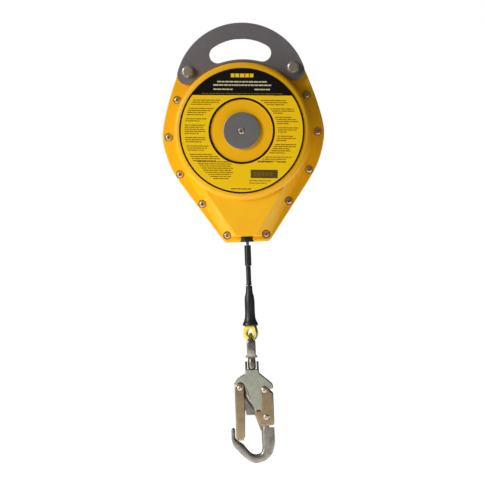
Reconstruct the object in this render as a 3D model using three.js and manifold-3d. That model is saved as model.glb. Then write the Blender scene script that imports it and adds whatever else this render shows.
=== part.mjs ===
// Self retracting lifeline: a drum of wire rope in a two part casing, with a steel
// handle plate on top and a swivel snap hook on the end of the rope.
//
// Millimetres. +Z is up, +X is right and the front, with its label, faces -Y.
// The origin is the seat at the top of the hand slot, where an anchor connector bears.
// The casing, line and hook are drawn about the drum's axis, in a group that is then
// moved so that the seat is at the origin.

import * as THREE from 'three';
import { mergeVertices } from 'three/addons/utils/BufferGeometryUtils.js';
import { ConvexGeometry } from 'three/addons/geometries/ConvexGeometry.js';
import Module from 'manifold-3d';

const wasm = await Module();
wasm.setup();

// ---------------------------------------------------------------- driving dimensions

const gap = 0.3;                     // between pieces that touch
const runningGap = 0.6;              // between pieces that move past each other

// Casing
const wall = 3.5;
const flangeThickness = 6.9;         // each cover's bolting flange
const gasketThickness = 1.6;
const flangeTopRadius = 107.3;       // top of the flange, about the drum axis
const flangeBottom = 165;            // drum axis down to the bottom edge
const flangeCorner = 9;              // rounding of the two bottom corners
const flangeSide = [                 // right edge, from the end of the slope up to the ear
  [97, -73], [107.5, -55], [114.5, -38], [119.5, -19], [121.5, -3],
  [120, 12], [116, 30], [110, 52], [103.5, 74], [97.5, 92],
];
const slopeFoot = [32.5, -158.5];      // lower end of the straight slope
const domeBaseRadius = 104;
const domeRimRadius = 102.5;
const domeFillet = 8;
const roofRoom = 2.7;                 // shaft nut to the inside of the roof
const chinDrop = 8;                   // dome's front down to the chin's face
const chinFall = 11;                  // the chin's face, from the dome to the nozzle
const chinEnd = 157;                 // drum axis down to the chin's end wall
const chinBaseHalf = 33;
const chinFaceHalf = 15;
const chinRoomHalf = 17;              // inside, at the end wall
const chinWall = 7;                  // end wall that carries the nozzle

// Cover screws, right side only, about the drum axis
const screwPlaces = [[97, 52.3], [112, -3.3], [97, -59.6], [65, -105.4], [29.3, -154]];
const screwRadius = 3;
const screwHeadRadius = 5.2;
const screwHeadHeight = 3.2;
const screwRecess = 1.4;
const screwTip = 6;                  // how far it reaches behind the parting plane

// Handle plate and its bolts
const plateThickness = 6;
const plateInnerRadius = 105.3;      // lower edge, about the drum axis
const plateArcCentre = 64.5;         // height of the centre of the outer arc
const plateOuterRadius = 99.5;
const plateEndAngle = 42.3;          // degrees from the vertical to each rounded end
const slotInnerRadius = 109;
const slotOuterRadius = 75.5;
const slotEndAngle = 15.9;
const seatHalf = 7;                  // half of the flat at the top of the slot
const boltPlace = [79, 93.5];
const boltRadius = 4.7;
const boltHeadFlats = 14.3;
const boltHeadHeight = 5.6;
const washerRadius = 9.2;
const washerThickness = 1.5;
const earRadius = 15.5;

// Label and hub
const labelOuterRadius = 93.5;
const labelInnerRadius = 46;
const labelThickness = 0.8;
const hubCapRadius = 27.5;
const hubCapThickness = 3.6;
const hubScrewHeadRadius = 5.2;
const hubScrewRadius = 3;
const hubScrewLength = 18;
const hubScrewHeadHeight = 2.6;
const hubScrewSink = 1.2;             // depth of the cap's seat for the screw's head

// Shaft and drum
const shaftRadius = 10;
const journalRadius = 7;
const shoulderRadius = 30;
const bushWall = 2.4;
const spoolRadius = 48;
const spoolRim = 6;
const spoolHub = 5;
const spoolWeb = 6;
const ropePackWidth = 31;
const ropePackRadius = 73;
const ropeTurns = 6;                 // turns side by side in each layer
const drumFlangeRadius = 80;
const drumFlangeThickness = 3;
const lighteningHoles = 5;
const lighteningRadius = 9;
const lighteningCircle = 31;

// Brake
const ringRootRadius = 84;
const ringTipRadius = 78;
const ringOuterRadius = 88;
const ringTeeth = 12;
const ringDiscThickness = 2.5;
const ringHoles = 6;
const ringHoleRadius = 9;
const ringHoleCircle = 54;
const pawlThickness = 3.2;
const pawlLength = 30;
const pawlPivotRadius = 61;
const pawlPinRadius = 3;
const pawlBoss = 6.5;
const frictionRadius = 34;
const frictionThickness = 2;
const pressurePlateThickness = 2.5;
const coneRadius = 20;
const coneThickness = 1.2;
const coneRise = 1.6;
const shaftNutFlats = 26;
const shaftNutThickness = 4;

// Power spring
const cupRadius = 74;
const cupWall = 1.5;
const springWidth = 13;
const springThickness = 1.6;
const springTurns = 4;
const springInnerRadius = 20;
const springOuterRadius = 70;
const arborRadius = 18.8;

// Nozzle
const nozzleRadius = 12.5;
const nozzleHeight = 8;
const nozzleStemRadius = 9;
const nozzleMouth = 6;

// Rope and what is on it, heights below the drum axis
const ropeRadius = 2.4;
const nozzleBore = ropeRadius + 0.9;
const ropeTop = 88;
const bumperTop = 170;
const bumperEnd = 201;
const bumperRadius = ropeRadius + 2.5;
const sleeveEnd = 240;
const sleeveBore = ropeRadius + gap;
const sleeveRadius = sleeveBore + 1;
const bootEnd = 291;
const bootWall = 0.9;
const ferruleTop = 249;
const ferruleEnd = 273;
const ferruleHalfDepth = ropeRadius + 1.5;
const strandOffset = ropeRadius + 0.35; // each strand from the middle, in the ferrule
const ferruleHalfWidth = strandOffset + ropeRadius + 1.15;
const bootRadius = ferruleHalfWidth + bootWall + 0.2;
const bootMouthRadius = bootRadius + 3.2;
const thimbleTurn = -35;             // degrees about the rope, from the front plane
const thimbleCentre = 302.1;
const thimbleHole = 6.4;
const thimbleWall = 0.9;
const thimbleLip = 2;                // lips beyond the rope's centre line
const thimbleHalfThickness = 3.2;
const thimbleFlare = 1.5;             // chamfer of the hole at both faces
const thimbleNeckHalf = 6.4;
const holeTopHalf = 2.5;              // half width of the hole's top end
const thimbleNeckRise = 21;           // hole's centre to the top of the neck

// Swivel eye
const eyeBar = 6.5;
const eyeHoleHalf = 9.5;
const eyeCrown = 306.8;               // underside of the round bar at the top
const eyeHoleBottom = 335.5;
const eyeCrownRadius = 2.8;            // round bar that passes through the thimble
const eyeBroadHalf = 6;
const eyeTaper = 6.5;                 // height over which the legs widen
const eyeBulbRadius = 6;
const eyeShankRadius = 4;
const eyeHeadRadius = 5.2;
const eyeHeadHeight = 3.6;
const crossPinRadius = 1.9;
const crossPinHalf = 8.8;

// Snap hook, heights below the drum axis
const prongTop = 345;
const prongInner = 7.3;
const neckHalf = 10.2;
const cupFloor = 357;
const headRoof = 372;
const headHalfDepth = 7;
const webHalfDepth = 3.5;
const barHalfDepth = 6.8;
const barEdge = 1.5;                 // rounding of the bar's edges
const gatePivot = [-19, -384];
const gateLength = 79;
const gateBack = 8;                  // pivot to the outside of the channel's back
const gateFront = 6;
const gateWall = 1.7;
const gateHalfDepth = 6.1;
const gateTopRadius = 8;
const gateTipLength = 9;
const gateRivetRadius = 2.2;
const leverPivot = [17.7, -388];
const leverStop = [19, -428.5];
const leverFoot = -441.5;
const leverHalfDepth = 8.9;
const leverWall = 1.6;
const leverBack = 30.4;
const leverLeft = 12.6;
const leverTravel = 4;               // degrees
const leverRivetRadius = 2.2;
const rivetHeadRadius = 4.3;
const rivetHeadHeight = 1.5;

// ---------------------------------------------------------------- worked out

const partingHalf = gasketThickness / 2;
const coverBack = partingHalf + gap;
const flangeFront = coverBack + flangeThickness;
const plateBack = flangeFront + gap;
const plateFront = plateBack + plateThickness;
const plateMiddle = (plateBack + plateFront) / 2;
const seatHeight = plateArcCentre + Math.sqrt(slotOuterRadius ** 2 - seatHalf ** 2);
const spoolHalf = ropePackWidth / 2 + gap;
const drumFlangeInner = spoolHalf + gap;
const drumFlangeOuter = drumFlangeInner + drumFlangeThickness;
const bushRadius = shaftRadius + gap + bushWall;
const spoolBore = bushRadius + gap;
const shoulderBack = drumFlangeOuter + runningGap;
const shoulderFront = shoulderBack + pressurePlateThickness;
const rearFriction = shoulderFront + gap;
const ringDiscBack = rearFriction + frictionThickness + gap;
const ringDiscFront = ringDiscBack + ringDiscThickness;
const frontFriction = ringDiscFront + gap;
const pressurePlateBack = frontFriction + frictionThickness + gap;
const coneBack = pressurePlateBack + pressurePlateThickness + gap;
const nutBack = coneBack + coneRise + coneThickness + gap;
const pawlBack = drumFlangeOuter + runningGap;
const springFront = drumFlangeOuter + 1.8;
const springBack = springFront + springWidth;
const cupFront = drumFlangeOuter + runningGap;
const cupFloorFront = springBack + runningGap;
const roof = nutBack + shaftNutThickness + roofRoom;
const domeDepth = roof + wall;         // parting plane to the flat front
const chinDepth = domeDepth - chinDrop;
const chinEndDepth = chinDepth - chinFall;
const ropeLoopRadius = thimbleHole + thimbleWall + gap + ropeRadius;
const thimbleRadius = ropeLoopRadius + thimbleLip;
const radians = Math.PI / 180;

// ---------------------------------------------------------------- solids by code

function signedVolume(position, index) {
  const a = new THREE.Vector3();
  const b = new THREE.Vector3();
  const c = new THREE.Vector3();
  let total = 0;
  for (let i = 0; i < index.count; i += 3) {
    a.fromBufferAttribute(position, index.getX(i));
    b.fromBufferAttribute(position, index.getX(i + 1));
    c.fromBufferAttribute(position, index.getX(i + 2));
    total += a.dot(b.cross(c));
  }
  return total / 6;
}

// Shared corners, no slivers and faces that point out.
function closed(geometry) {
  geometry.deleteAttribute('normal');
  geometry.deleteAttribute('uv');
  const merged = mergeVertices(geometry, 1e-4);
  const index = merged.index;
  const flip = signedVolume(merged.getAttribute('position'), index) < 0;
  const kept = [];
  for (let i = 0; i < index.count; i += 3) {
    const [a, b, c] = [index.getX(i), index.getX(i + 1), index.getX(i + 2)];
    if (a === b || b === c || c === a) continue;
    kept.push(...(flip ? [a, c, b] : [a, b, c]));
  }
  merged.setIndex(kept);
  return merged;
}

function solid(geometry) {
  const whole = closed(geometry);
  return new wasm.Manifold(new wasm.Mesh({
    numProp: 3,
    vertProperties: new Float32Array(whole.getAttribute('position').array),
    triVerts: new Uint32Array(whole.index.array),
  }));
}

function geometryOf(manifold) {
  const mesh = manifold.getMesh();
  const geometry = new THREE.BufferGeometry();
  geometry.setAttribute('position', new THREE.BufferAttribute(mesh.vertProperties, 3));
  geometry.setIndex(new THREE.BufferAttribute(mesh.triVerts, 1));
  return geometry;
}

const joined = (first, ...others) => others.reduce((sum, next) => sum.add(next), first);
const without = (first, ...cutters) => cutters.reduce((rest, next) => rest.subtract(next), first);

// A flat outline in X and Z, thick from y = front to y = back.
function plate(shape, front, back, curveSegments = 12) {
  const geometry = new THREE.ExtrudeGeometry(shape, {
    depth: back - front, bevelEnabled: false, curveSegments,
  });
  geometry.rotateX(Math.PI / 2);
  geometry.translate(0, back, 0);
  return geometry;
}

// The same with its front and back edges rounded by `edge`.
function roundedPlate(shape, front, back, edge, edgeSteps = 2, curveSegments = 12) {
  const geometry = new THREE.ExtrudeGeometry(shape, {
    depth: back - front - 2 * edge, bevelEnabled: true, bevelThickness: edge,
    bevelSize: edge, bevelOffset: -edge, bevelSegments: edgeSteps, curveSegments,
  });
  geometry.rotateX(Math.PI / 2);
  geometry.translate(0, back - edge, 0);
  return geometry;
}

// A profile of [radius, y] turned about the Y axis.
function turned(profile, segments = 48) {
  return new THREE.LatheGeometry(profile.map(([r, y]) => new THREE.Vector2(r, y)), segments);
}

// A profile of [radius, z] turned about the Z axis.
function turnedUpright(profile, segments = 24) {
  return turned(profile, segments).rotateX(Math.PI / 2);
}

function rod(radius, front, back, x = 0, z = 0, segments = 16) {
  const geometry = new THREE.CylinderGeometry(radius, radius, back - front, segments);
  return geometry.translate(x, (front + back) / 2, z);
}

function uprightRod(radius, bottom, top, x = 0, y = 0, segments = 24) {
  const geometry = new THREE.CylinderGeometry(radius, radius, top - bottom, segments);
  return geometry.rotateX(Math.PI / 2).translate(x, y, (bottom + top) / 2);
}

function block(x0, x1, y0, y1, z0, z1) {
  const geometry = new THREE.BoxGeometry(x1 - x0, y1 - y0, z1 - z0);
  return geometry.translate((x0 + x1) / 2, (y0 + y1) / 2, (z0 + z1) / 2);
}

function ringShape(outer, inner) {
  const shape = new THREE.Shape().absarc(0, 0, outer, 0, 2 * Math.PI);
  shape.holes.push(new THREE.Path().absarc(0, 0, inner, 0, 2 * Math.PI));
  return shape;
}

function arcPoints(x, z, radius, start, end, steps) {
  const points = [];
  for (let i = 0; i <= steps; i += 1) {
    const angle = (start + (end - start) * i / steps) * radians;
    points.push(new THREE.Vector2(x + radius * Math.cos(angle), z + radius * Math.sin(angle)));
  }
  return points;
}

// A closed outline from the points of its right half, listed from bottom to top.
function mirroredShape(right) {
  const left = right.filter((p) => p.x > 1e-6).map((p) => new THREE.Vector2(-p.x, p.y));
  return new THREE.Shape([...right, ...left.reverse()]);
}

const circumradius = (acrossFlats) => acrossFlats / 2 / Math.cos(Math.PI / 6);
const backToFront = (geometry) => geometry.scale(1, -1, 1);

// ---------------------------------------------------------------- casing

function flangeShape() {
  const [footX, footZ] = slopeFoot;
  const [topX, topZ] = flangeSide[0];
  const slope = Math.atan2(topZ - footZ, topX - footX) / radians;
  const normalX = Math.sin(slope * radians);
  const normalZ = -Math.cos(slope * radians);
  const reach = normalX * footX + normalZ * footZ - flangeCorner;
  const cornerZ = flangeCorner - flangeBottom;
  const cornerX = (reach - normalZ * cornerZ) / normalX;
  const side = new THREE.SplineCurve(flangeSide.map(([x, z]) => new THREE.Vector2(x, z)));
  const [boltX, boltZ] = boltPlace;
  return mirroredShape([
    new THREE.Vector2(0, -flangeBottom),
    ...arcPoints(cornerX, cornerZ, flangeCorner, -90, slope - 90, 3),
    ...side.getPoints(11),
    ...arcPoints(boltX, boltZ, earRadius, 10, 135, 4),
    ...arcPoints(0, 0, flangeTopRadius, 62, 90, 3),
  ]);
}

// The raised round cover, from the parting plane forward; `inset` gives its inside.
function domeSolid(inset, start) {
  const fillet = domeFillet - inset;
  const centreRadius = domeRimRadius - domeFillet;
  const centreDepth = domeDepth - domeFillet;
  const rim = arcPoints(centreRadius, centreDepth, fillet, 0, 90, 3);
  const profile = [
    [0, -start],
    [domeBaseRadius - inset, -start],
    [domeBaseRadius - inset, -flangeFront],
    ...rim.map((p) => [p.x, -p.y]),
    [0, -(domeDepth - inset)],
  ];
  return solid(turned(profile, inset > 0 ? 36 : 48));
}

// The tapering chin between the dome and the nozzle.
function chinSolid(inset, start) {
  const points = [];
  const along = (radius, depth) => arcPoints(0, 0, radius, 205, 335, 9)
    .forEach((p) => points.push(new THREE.Vector3(p.x, -depth, p.y)));
  along(domeBaseRadius - inset, start);
  along(domeBaseRadius - inset, flangeFront);
  along(domeRimRadius - domeFillet - inset, chinDepth - inset);
  const end = chinEnd - (inset > 0 ? chinWall : 0);
  const half = inset > 0 ? chinRoomHalf : chinBaseHalf;
  const corners = [
    [half, start],
    [half, flangeFront],
    [inset > 0 ? chinFaceHalf - inset : chinFaceHalf, chinEndDepth - inset],
  ];
  for (const [x, depth] of corners) {
    points.push(new THREE.Vector3(x, -depth, -end));
    points.push(new THREE.Vector3(-x, -depth, -end));
  }
  return solid(new ConvexGeometry(points));
}

function cavity() {
  return joined(domeSolid(wall, -flangeFront), chinSolid(wall, -flangeFront));
}

function nozzleSeat() {
  return joined(
    solid(uprightRod(nozzleRadius + gap, -flangeBottom - 5, -chinEnd + gap, 0, 0, 20)),
    solid(uprightRod(nozzleStemRadius + gap, -chinEnd - 1, -chinEnd + 20, 0, 0, 16)),
  );
}

function allScrewPlaces() {
  return [...screwPlaces, ...screwPlaces.map(([x, z]) => [-x, z])];
}

function boltPlaces() {
  const [x, z] = boltPlace;
  return [[-x, z], [x, z]];
}

// Every hole that goes through both flanges.
function flangeHoles() {
  const reach = flangeFront + 5;
  return joined(
    ...allScrewPlaces().map(([x, z]) => solid(rod(screwRadius + gap, -reach, reach, x, z, 8))),
    ...boltPlaces().map(([x, z]) => solid(rod(boltRadius + gap, -reach, reach, x, z, 12))),
  );
}

function coverSolid() {
  const flange = solid(plate(flangeShape(), -flangeFront, -coverBack));
  const outside = joined(flange, domeSolid(0, coverBack), chinSolid(0, coverBack));
  const hub = solid(rod(journalRadius + gap, -domeDepth - 1, -coverBack, 0, 0, 24));
  return without(outside, cavity(), nozzleSeat(), flangeHoles(), hub);
}

function frontCover() {
  const recesses = allScrewPlaces().map(([x, z]) => solid(
    rod(screwHeadRadius + 1, -domeDepth, -flangeFront + screwRecess, x, z, 12),
  ));
  return geometryOf(without(coverSolid(), ...recesses));
}

function rearCover() {
  return closed(backToFront(geometryOf(coverSolid())));
}

function gasket() {
  const sheet = solid(plate(flangeShape(), -partingHalf, partingHalf));
  return geometryOf(without(sheet, cavity(), nozzleSeat(), flangeHoles()));
}

function coverScrew(x, z) {
  const seat = -flangeFront + screwRecess - gap;
  const profile = [
    [0, screwTip],
    [screwRadius, screwTip],
    [screwRadius, seat],
    [screwHeadRadius, seat],
    [screwHeadRadius, seat - screwHeadHeight * 0.35],
    [screwHeadRadius * 0.62, seat - screwHeadHeight],
    [0, seat - screwHeadHeight],
  ];
  return closed(turned(profile, 8).translate(x, 0, z));
}

// ---------------------------------------------------------------- handle plate

// A band between an inner arc about the drum axis and an outer arc about a higher
// centre, with round ends that touch both. A flat at the top is optional.
function bandShape(innerRadius, outerRadius, endAngle, flatHalf = 0) {
  const h = plateArcCentre;
  const cosine = Math.cos(endAngle * radians);
  const across = outerRadius ** 2 - innerRadius ** 2 - h ** 2 + 2 * h * innerRadius * cosine;
  const end = across / (2 * (innerRadius + outerRadius - h * cosine));
  const endX = (innerRadius + end) * Math.sin(endAngle * radians);
  const endZ = (innerRadius + end) * cosine;
  const outerStart = Math.atan2(endZ - h, endX) / radians;
  const innerStart = Math.atan2(endZ, endX) / radians;
  const top = 90 - Math.asin(flatHalf / outerRadius) / radians;
  return new THREE.Shape([
    ...arcPoints(0, h, outerRadius, outerStart, top, 14),
    ...arcPoints(0, h, outerRadius, 180 - top, 180 - outerStart, 14).slice(flatHalf ? 0 : 1),
    ...arcPoints(-endX, endZ, end, 180 - outerStart, 360 - innerStart, 9).slice(1),
    ...arcPoints(0, 0, innerRadius, 180 - innerStart, innerStart, 16).slice(1),
    ...arcPoints(endX, endZ, end, 180 + innerStart, 360 + outerStart, 9).slice(1, -1),
  ]);
}

function handlePlate() {
  const band = bandShape(plateInnerRadius, plateOuterRadius, plateEndAngle);
  const slot = bandShape(slotInnerRadius, slotOuterRadius, slotEndAngle, seatHalf);
  const blank = solid(plate(band, -plateFront, -plateBack));
  const opening = solid(plate(slot, -plateFront - 1, -plateBack + 1));
  const holes = boltPlaces().map(([x, z]) => solid(
    rod(boltRadius + gap, -plateFront - 1, -plateBack + 1, x, z, 12),
  ));
  return geometryOf(without(blank, opening, ...holes));
}

function hexPrism(acrossFlats, front, back) {
  const geometry = new THREE.CylinderGeometry(
    circumradius(acrossFlats), circumradius(acrossFlats), back - front, 6,
  );
  return solid(geometry.translate(0, (front + back) / 2, 0));
}

const nutBackFace = () => flangeFront + gap + washerThickness + 6.5;

function handleBolt(x, z) {
  const seat = -plateFront - gap;
  const bolt = joined(
    hexPrism(boltHeadFlats, seat - washerThickness - boltHeadHeight, seat - washerThickness),
    solid(rod(washerRadius, seat - washerThickness, seat, 0, 0, 20)),
    solid(rod(boltRadius, seat - 1, nutBackFace() + 1.5, 0, 0, 12)),
  );
  return geometryOf(bolt.translate([x, 0, z]));
}

function handleNut(x, z) {
  const seat = flangeFront + gap;
  const nut = joined(
    hexPrism(boltHeadFlats, seat + washerThickness, nutBackFace()),
    solid(rod(washerRadius, seat, seat + washerThickness, 0, 0, 20)),
  );
  const bore = solid(rod(boltRadius + gap, seat - 1, nutBackFace() + 1, 0, 0, 12));
  return geometryOf(without(nut, bore).translate([x, 0, z]));
}

// ---------------------------------------------------------------- label and hub

function labelPlate() {
  const front = -domeDepth - gap - labelThickness;
  return closed(plate(ringShape(labelOuterRadius, labelInnerRadius), front, front + labelThickness, 24));
}

function hubCap() {
  const back = domeDepth + gap;
  const front = back + hubCapThickness;
  const seat = front - hubScrewSink;
  const profile = [
    [hubScrewRadius + gap, -back],
    [hubCapRadius, -back],
    [hubCapRadius, -front + 1],
    [hubCapRadius - 1, -front],
    [hubScrewHeadRadius + 0.6, -front],
    [hubScrewHeadRadius + 0.6, -seat],
    [hubScrewRadius + gap, -seat],
    [hubScrewRadius + gap, -back],
  ];
  return turned(profile, 28);
}

function hubScrew() {
  const seat = -(domeDepth + gap + hubCapThickness - hubScrewSink) - gap;
  const profile = [
    [0, seat + hubScrewLength],
    [hubScrewRadius, seat + hubScrewLength],
    [hubScrewRadius, seat],
    [hubScrewHeadRadius, seat],
    [hubScrewHeadRadius, seat - hubScrewHeadHeight / 2],
    [hubScrewHeadRadius * 0.6, seat - hubScrewHeadHeight],
    [0, seat - hubScrewHeadHeight],
  ];
  return closed(turned(profile, 12));
}

// ---------------------------------------------------------------- shaft and drum

function mainShaft() {
  const end = domeDepth - 0.5;
  const journal = roof - runningGap;
  const hole = hubScrewLength + 2;
  const profile = [
    [0, -end + hole],
    [hubScrewRadius + gap, -end + hole],
    [hubScrewRadius + gap, -end],
    [journalRadius, -end],
    [journalRadius, -journal],
    [shaftRadius, -journal],
    [shaftRadius, -shoulderFront],
    [shoulderRadius, -shoulderFront],
    [shoulderRadius, -shoulderBack],
    [shaftRadius, -shoulderBack],
    [shaftRadius, journal],
    [journalRadius, journal],
    [journalRadius, end],
    [0, end],
  ];
  return closed(turned(profile, 20));
}

// Hub, web and rim of the spool, with the arbor that winds the power spring.
function drumSpool() {
  const web = spoolWeb / 2;
  const hub = spoolBore + spoolHub;
  const rimInside = spoolRadius - spoolRim;
  const arborEnd = springBack - 1;
  const profile = [
    [spoolBore, -spoolHalf],
    [hub, -spoolHalf],
    [hub, -web],
    [rimInside, -web],
    [rimInside, -spoolHalf],
    [spoolRadius, -spoolHalf],
    [spoolRadius, spoolHalf],
    [rimInside, spoolHalf],
    [rimInside, web],
    [hub, web],
    [hub, springFront - 1.2],
    [arborRadius, springFront - 1.2],
    [arborRadius, arborEnd],
    [spoolBore, arborEnd],
    [spoolBore, -spoolHalf],
  ];
  return closed(turned(profile, 24));
}

function drumFlange(bore) {
  const disc = solid(plate(
    ringShape(drumFlangeRadius, bore), -drumFlangeOuter, -drumFlangeInner, 16,
  ));
  const holes = [];
  for (let i = 0; i < lighteningHoles; i += 1) {
    const angle = 2 * Math.PI * i / lighteningHoles + Math.PI / 10;
    holes.push(solid(rod(
      lighteningRadius, -drumFlangeOuter - 1, -drumFlangeInner + 1,
      lighteningCircle * Math.cos(angle), lighteningCircle * Math.sin(angle), 10,
    )));
  }
  return without(disc, ...holes);
}

function frontDrumFlange() {
  const pins = pawlPivots().map(([x, z]) => solid(
    rod(pawlPinRadius + gap, -drumFlangeOuter - 1, -drumFlangeInner + 1, x, z, 12),
  ));
  return geometryOf(without(drumFlange(spoolBore + spoolHub + gap), ...pins));
}

function rearDrumFlange() {
  return closed(backToFront(geometryOf(drumFlange(arborRadius + gap))));
}

// The rope on the drum, as the ring that its layers fill, with a ridge for each turn.
function woundRope() {
  const pitch = ropePackWidth / ropeTurns;
  const crown = ropePackRadius;
  const valley = ropePackRadius - ropeRadius * 0.8;
  const inner = spoolRadius + gap;
  const profile = [[inner, -ropePackWidth / 2]];
  for (let i = 0; i < ropeTurns; i += 1) {
    const start = -ropePackWidth / 2 + i * pitch;
    profile.push([valley, start], [crown, start + pitch / 2]);
  }
  profile.push([valley, ropePackWidth / 2], [inner, ropePackWidth / 2], profile[0]);
  return closed(turned(profile, 24));
}

function drumBush() {
  const inner = shaftRadius + gap;
  const profile = [
    [inner, -spoolHalf],
    [bushRadius, -spoolHalf],
    [bushRadius, springBack - 1],
    [inner, springBack - 1],
    [inner, -spoolHalf],
  ];
  return closed(turned(profile, 20));
}

// ---------------------------------------------------------------- brake

function pawlPivots() {
  return [[0, pawlPivotRadius], [0, -pawlPivotRadius]];
}

function pawlPin(x, z) {
  return closed(rod(pawlPinRadius, -pawlBack - pawlThickness - 0.6, -drumFlangeInner, x, z, 12));
}

// A pawl lies along the drum from its pin and swings its tip out to the ring.
function pawl() {
  const tip = -pawlLength;
  const shape = new THREE.Shape([
    ...arcPoints(0, 0, pawlBoss, -75, 105, 8),
    new THREE.Vector2(tip + 6, 3.6),
    new THREE.Vector2(tip, 1.5),
    new THREE.Vector2(tip + 1, -4.5),
    new THREE.Vector2(tip + 8, -6.8),
  ]);
  shape.holes.push(new THREE.Path().absarc(0, 0, pawlPinRadius + gap, 0, 2 * Math.PI));
  return plate(shape, -pawlBack - pawlThickness, -pawlBack, 6);
}

function pawlAt(index) {
  const geometry = pawl();
  geometry.translate(0, 0, pawlPivotRadius);
  return closed(geometry.rotateY(Math.PI * index));
}

// Coils of a torsion spring round its pin, drawn as one ridged ring.
function coilRing(inner, outer, length, coils, segments = 10) {
  const pitch = length / coils;
  const profile = [[inner, 0]];
  for (let i = 0; i < coils; i += 1) {
    profile.push([outer - 0.35, i * pitch], [outer, (i + 0.5) * pitch]);
  }
  profile.push([outer - 0.35, length], [inner, length], [inner, 0]);
  return turned(profile, segments);
}

function pawlSpring(x, z) {
  const front = -pawlBack - pawlThickness - gap;
  const coil = coilRing(pawlPinRadius + gap, pawlPinRadius + 1.8, 1, 1);
  return closed(coil.translate(x, front - 1, z));
}

function brakeRing() {
  const teeth = [];
  for (let i = 0; i < ringTeeth; i += 1) {
    const step = 360 / ringTeeth;
    teeth.push(...arcPoints(0, 0, ringTipRadius, i * step, (i + 0.3) * step, 1));
    teeth.push(...arcPoints(0, 0, ringRootRadius, (i + 0.36) * step, (i + 0.95) * step, 1));
  }
  const rim = new THREE.Shape().absarc(0, 0, ringOuterRadius, 0, 2 * Math.PI);
  rim.holes.push(new THREE.Path(teeth));
  const toothed = solid(plate(rim, -ringDiscFront, -pawlBack, 18));
  const disc = solid(plate(
    ringShape(ringOuterRadius - 1, shaftRadius + gap), -ringDiscFront, -ringDiscBack, 16,
  ));
  const holes = [];
  for (let i = 0; i < ringHoles; i += 1) {
    const angle = 2 * Math.PI * (i + 0.5) / ringHoles;
    holes.push(solid(rod(
      ringHoleRadius, -ringDiscFront - 1, -ringDiscBack + 1,
      ringHoleCircle * Math.cos(angle), ringHoleCircle * Math.sin(angle), 10,
    )));
  }
  return geometryOf(without(joined(toothed, disc), ...holes));
}

function washerDisc(front, thickness, outer, inner = shaftRadius + gap) {
  return closed(plate(ringShape(outer, inner), -front - thickness, -front, 12));
}

function coneWasher() {
  const inner = shaftRadius + gap;
  const profile = [
    [inner, -coneBack - coneRise],
    [coneRadius, -coneBack],
    [coneRadius, -coneBack - coneThickness],
    [inner, -coneBack - coneRise - coneThickness],
    [inner, -coneBack - coneRise],
  ];
  return closed(turned(profile, 20));
}

function shaftNut() {
  const bore = solid(rod(shaftRadius + gap, -nutBack - 10, -nutBack + 1, 0, 0, 32));
  return geometryOf(without(hexPrism(shaftNutFlats, -nutBack - shaftNutThickness, -nutBack), bore));
}

// ---------------------------------------------------------------- power spring

function springCup() {
  const back = cupFloorFront + cupWall;
  const profile = [
    [shaftRadius + gap, cupFloorFront],
    [cupRadius - cupWall, cupFloorFront],
    [cupRadius - cupWall, cupFront],
    [cupRadius, cupFront],
    [cupRadius, back],
    [shaftRadius + gap, back],
    [shaftRadius + gap, cupFloorFront],
  ];
  return closed(turned(profile, 28));
}

function powerSpring() {
  const steps = springTurns * 16;
  const edge = (offset) => {
    const points = [];
    for (let i = 0; i <= steps; i += 1) {
      const share = i / steps;
      const radius = springInnerRadius + (springOuterRadius - springInnerRadius) * share + offset;
      const angle = 2 * Math.PI * springTurns * share;
      points.push(new THREE.Vector2(radius * Math.cos(angle), radius * Math.sin(angle)));
    }
    return points;
  };
  const strip = new THREE.Shape([...edge(springThickness / 2), ...edge(-springThickness / 2).reverse()]);
  return closed(plate(strip, springFront, springBack));
}

// ---------------------------------------------------------------- nozzle and line

function nozzleBushing() {
  const bottom = -chinEnd - nozzleHeight;
  const inside = -chinEnd + chinWall + 2;
  const profile = [
    [nozzleBore, -chinEnd - 2],
    [nozzleMouth, bottom],
    [nozzleRadius - 2, bottom],
    [nozzleRadius, bottom + 2],
    [nozzleRadius, -chinEnd],
    [nozzleStemRadius, -chinEnd],
    [nozzleStemRadius, inside],
    [nozzleMouth, inside],
    [nozzleBore, inside - 4],
    [nozzleBore, -chinEnd - 2],
  ];
  return closed(turnedUpright(profile, 20));
}

// A round tube along a path.
function tubeAlong(points, radius, sides, steps) {
  const path = new THREE.CatmullRomCurve3(points, false, 'centripetal');
  const section = new THREE.Shape(arcPoints(0, 0, radius, 0, 360, sides).slice(0, -1));
  return new THREE.ExtrudeGeometry(section, { extrudePath: path, steps, bevelEnabled: false });
}

// From the drum's last turn down to the nozzle, across the casing.
function ropeLead() {
  const centre = ropePackRadius - ropeRadius;
  const angle = Math.acos(centre / chinEnd);
  const startX = (ropePackRadius + ropeRadius + gap) * Math.sin(angle);
  const startZ = -(ropePackRadius + ropeRadius + gap) * Math.cos(angle);
  const share = 0.86;
  const end = [startX * (1 - share), startZ + (-chinEnd - startZ) * share];
  return closed(tubeAlong([
    new THREE.Vector3(startX, 0, startZ),
    new THREE.Vector3((startX + end[0]) / 2, 0, (startZ + end[1]) / 2),
    new THREE.Vector3(end[0], 0, end[1]),
  ], ropeRadius, 8, 6));
}

// The rope's centre line round the thimble, in the thimble's plane.
const loopHalf = [
  [-4.9, 19 - thimbleCentre],
  [-8.1, 10 - thimbleCentre],
  [-ropeLoopRadius, 1 - thimbleCentre],
  [-ropeLoopRadius * 0.75, -thimbleCentre - ropeLoopRadius * 0.66],
];
const loopRoute = [
  ...loopHalf,
  [0, -thimbleCentre - ropeLoopRadius],
  ...loopHalf.map(([u, z]) => [-u, z]).reverse(),
];

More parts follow.
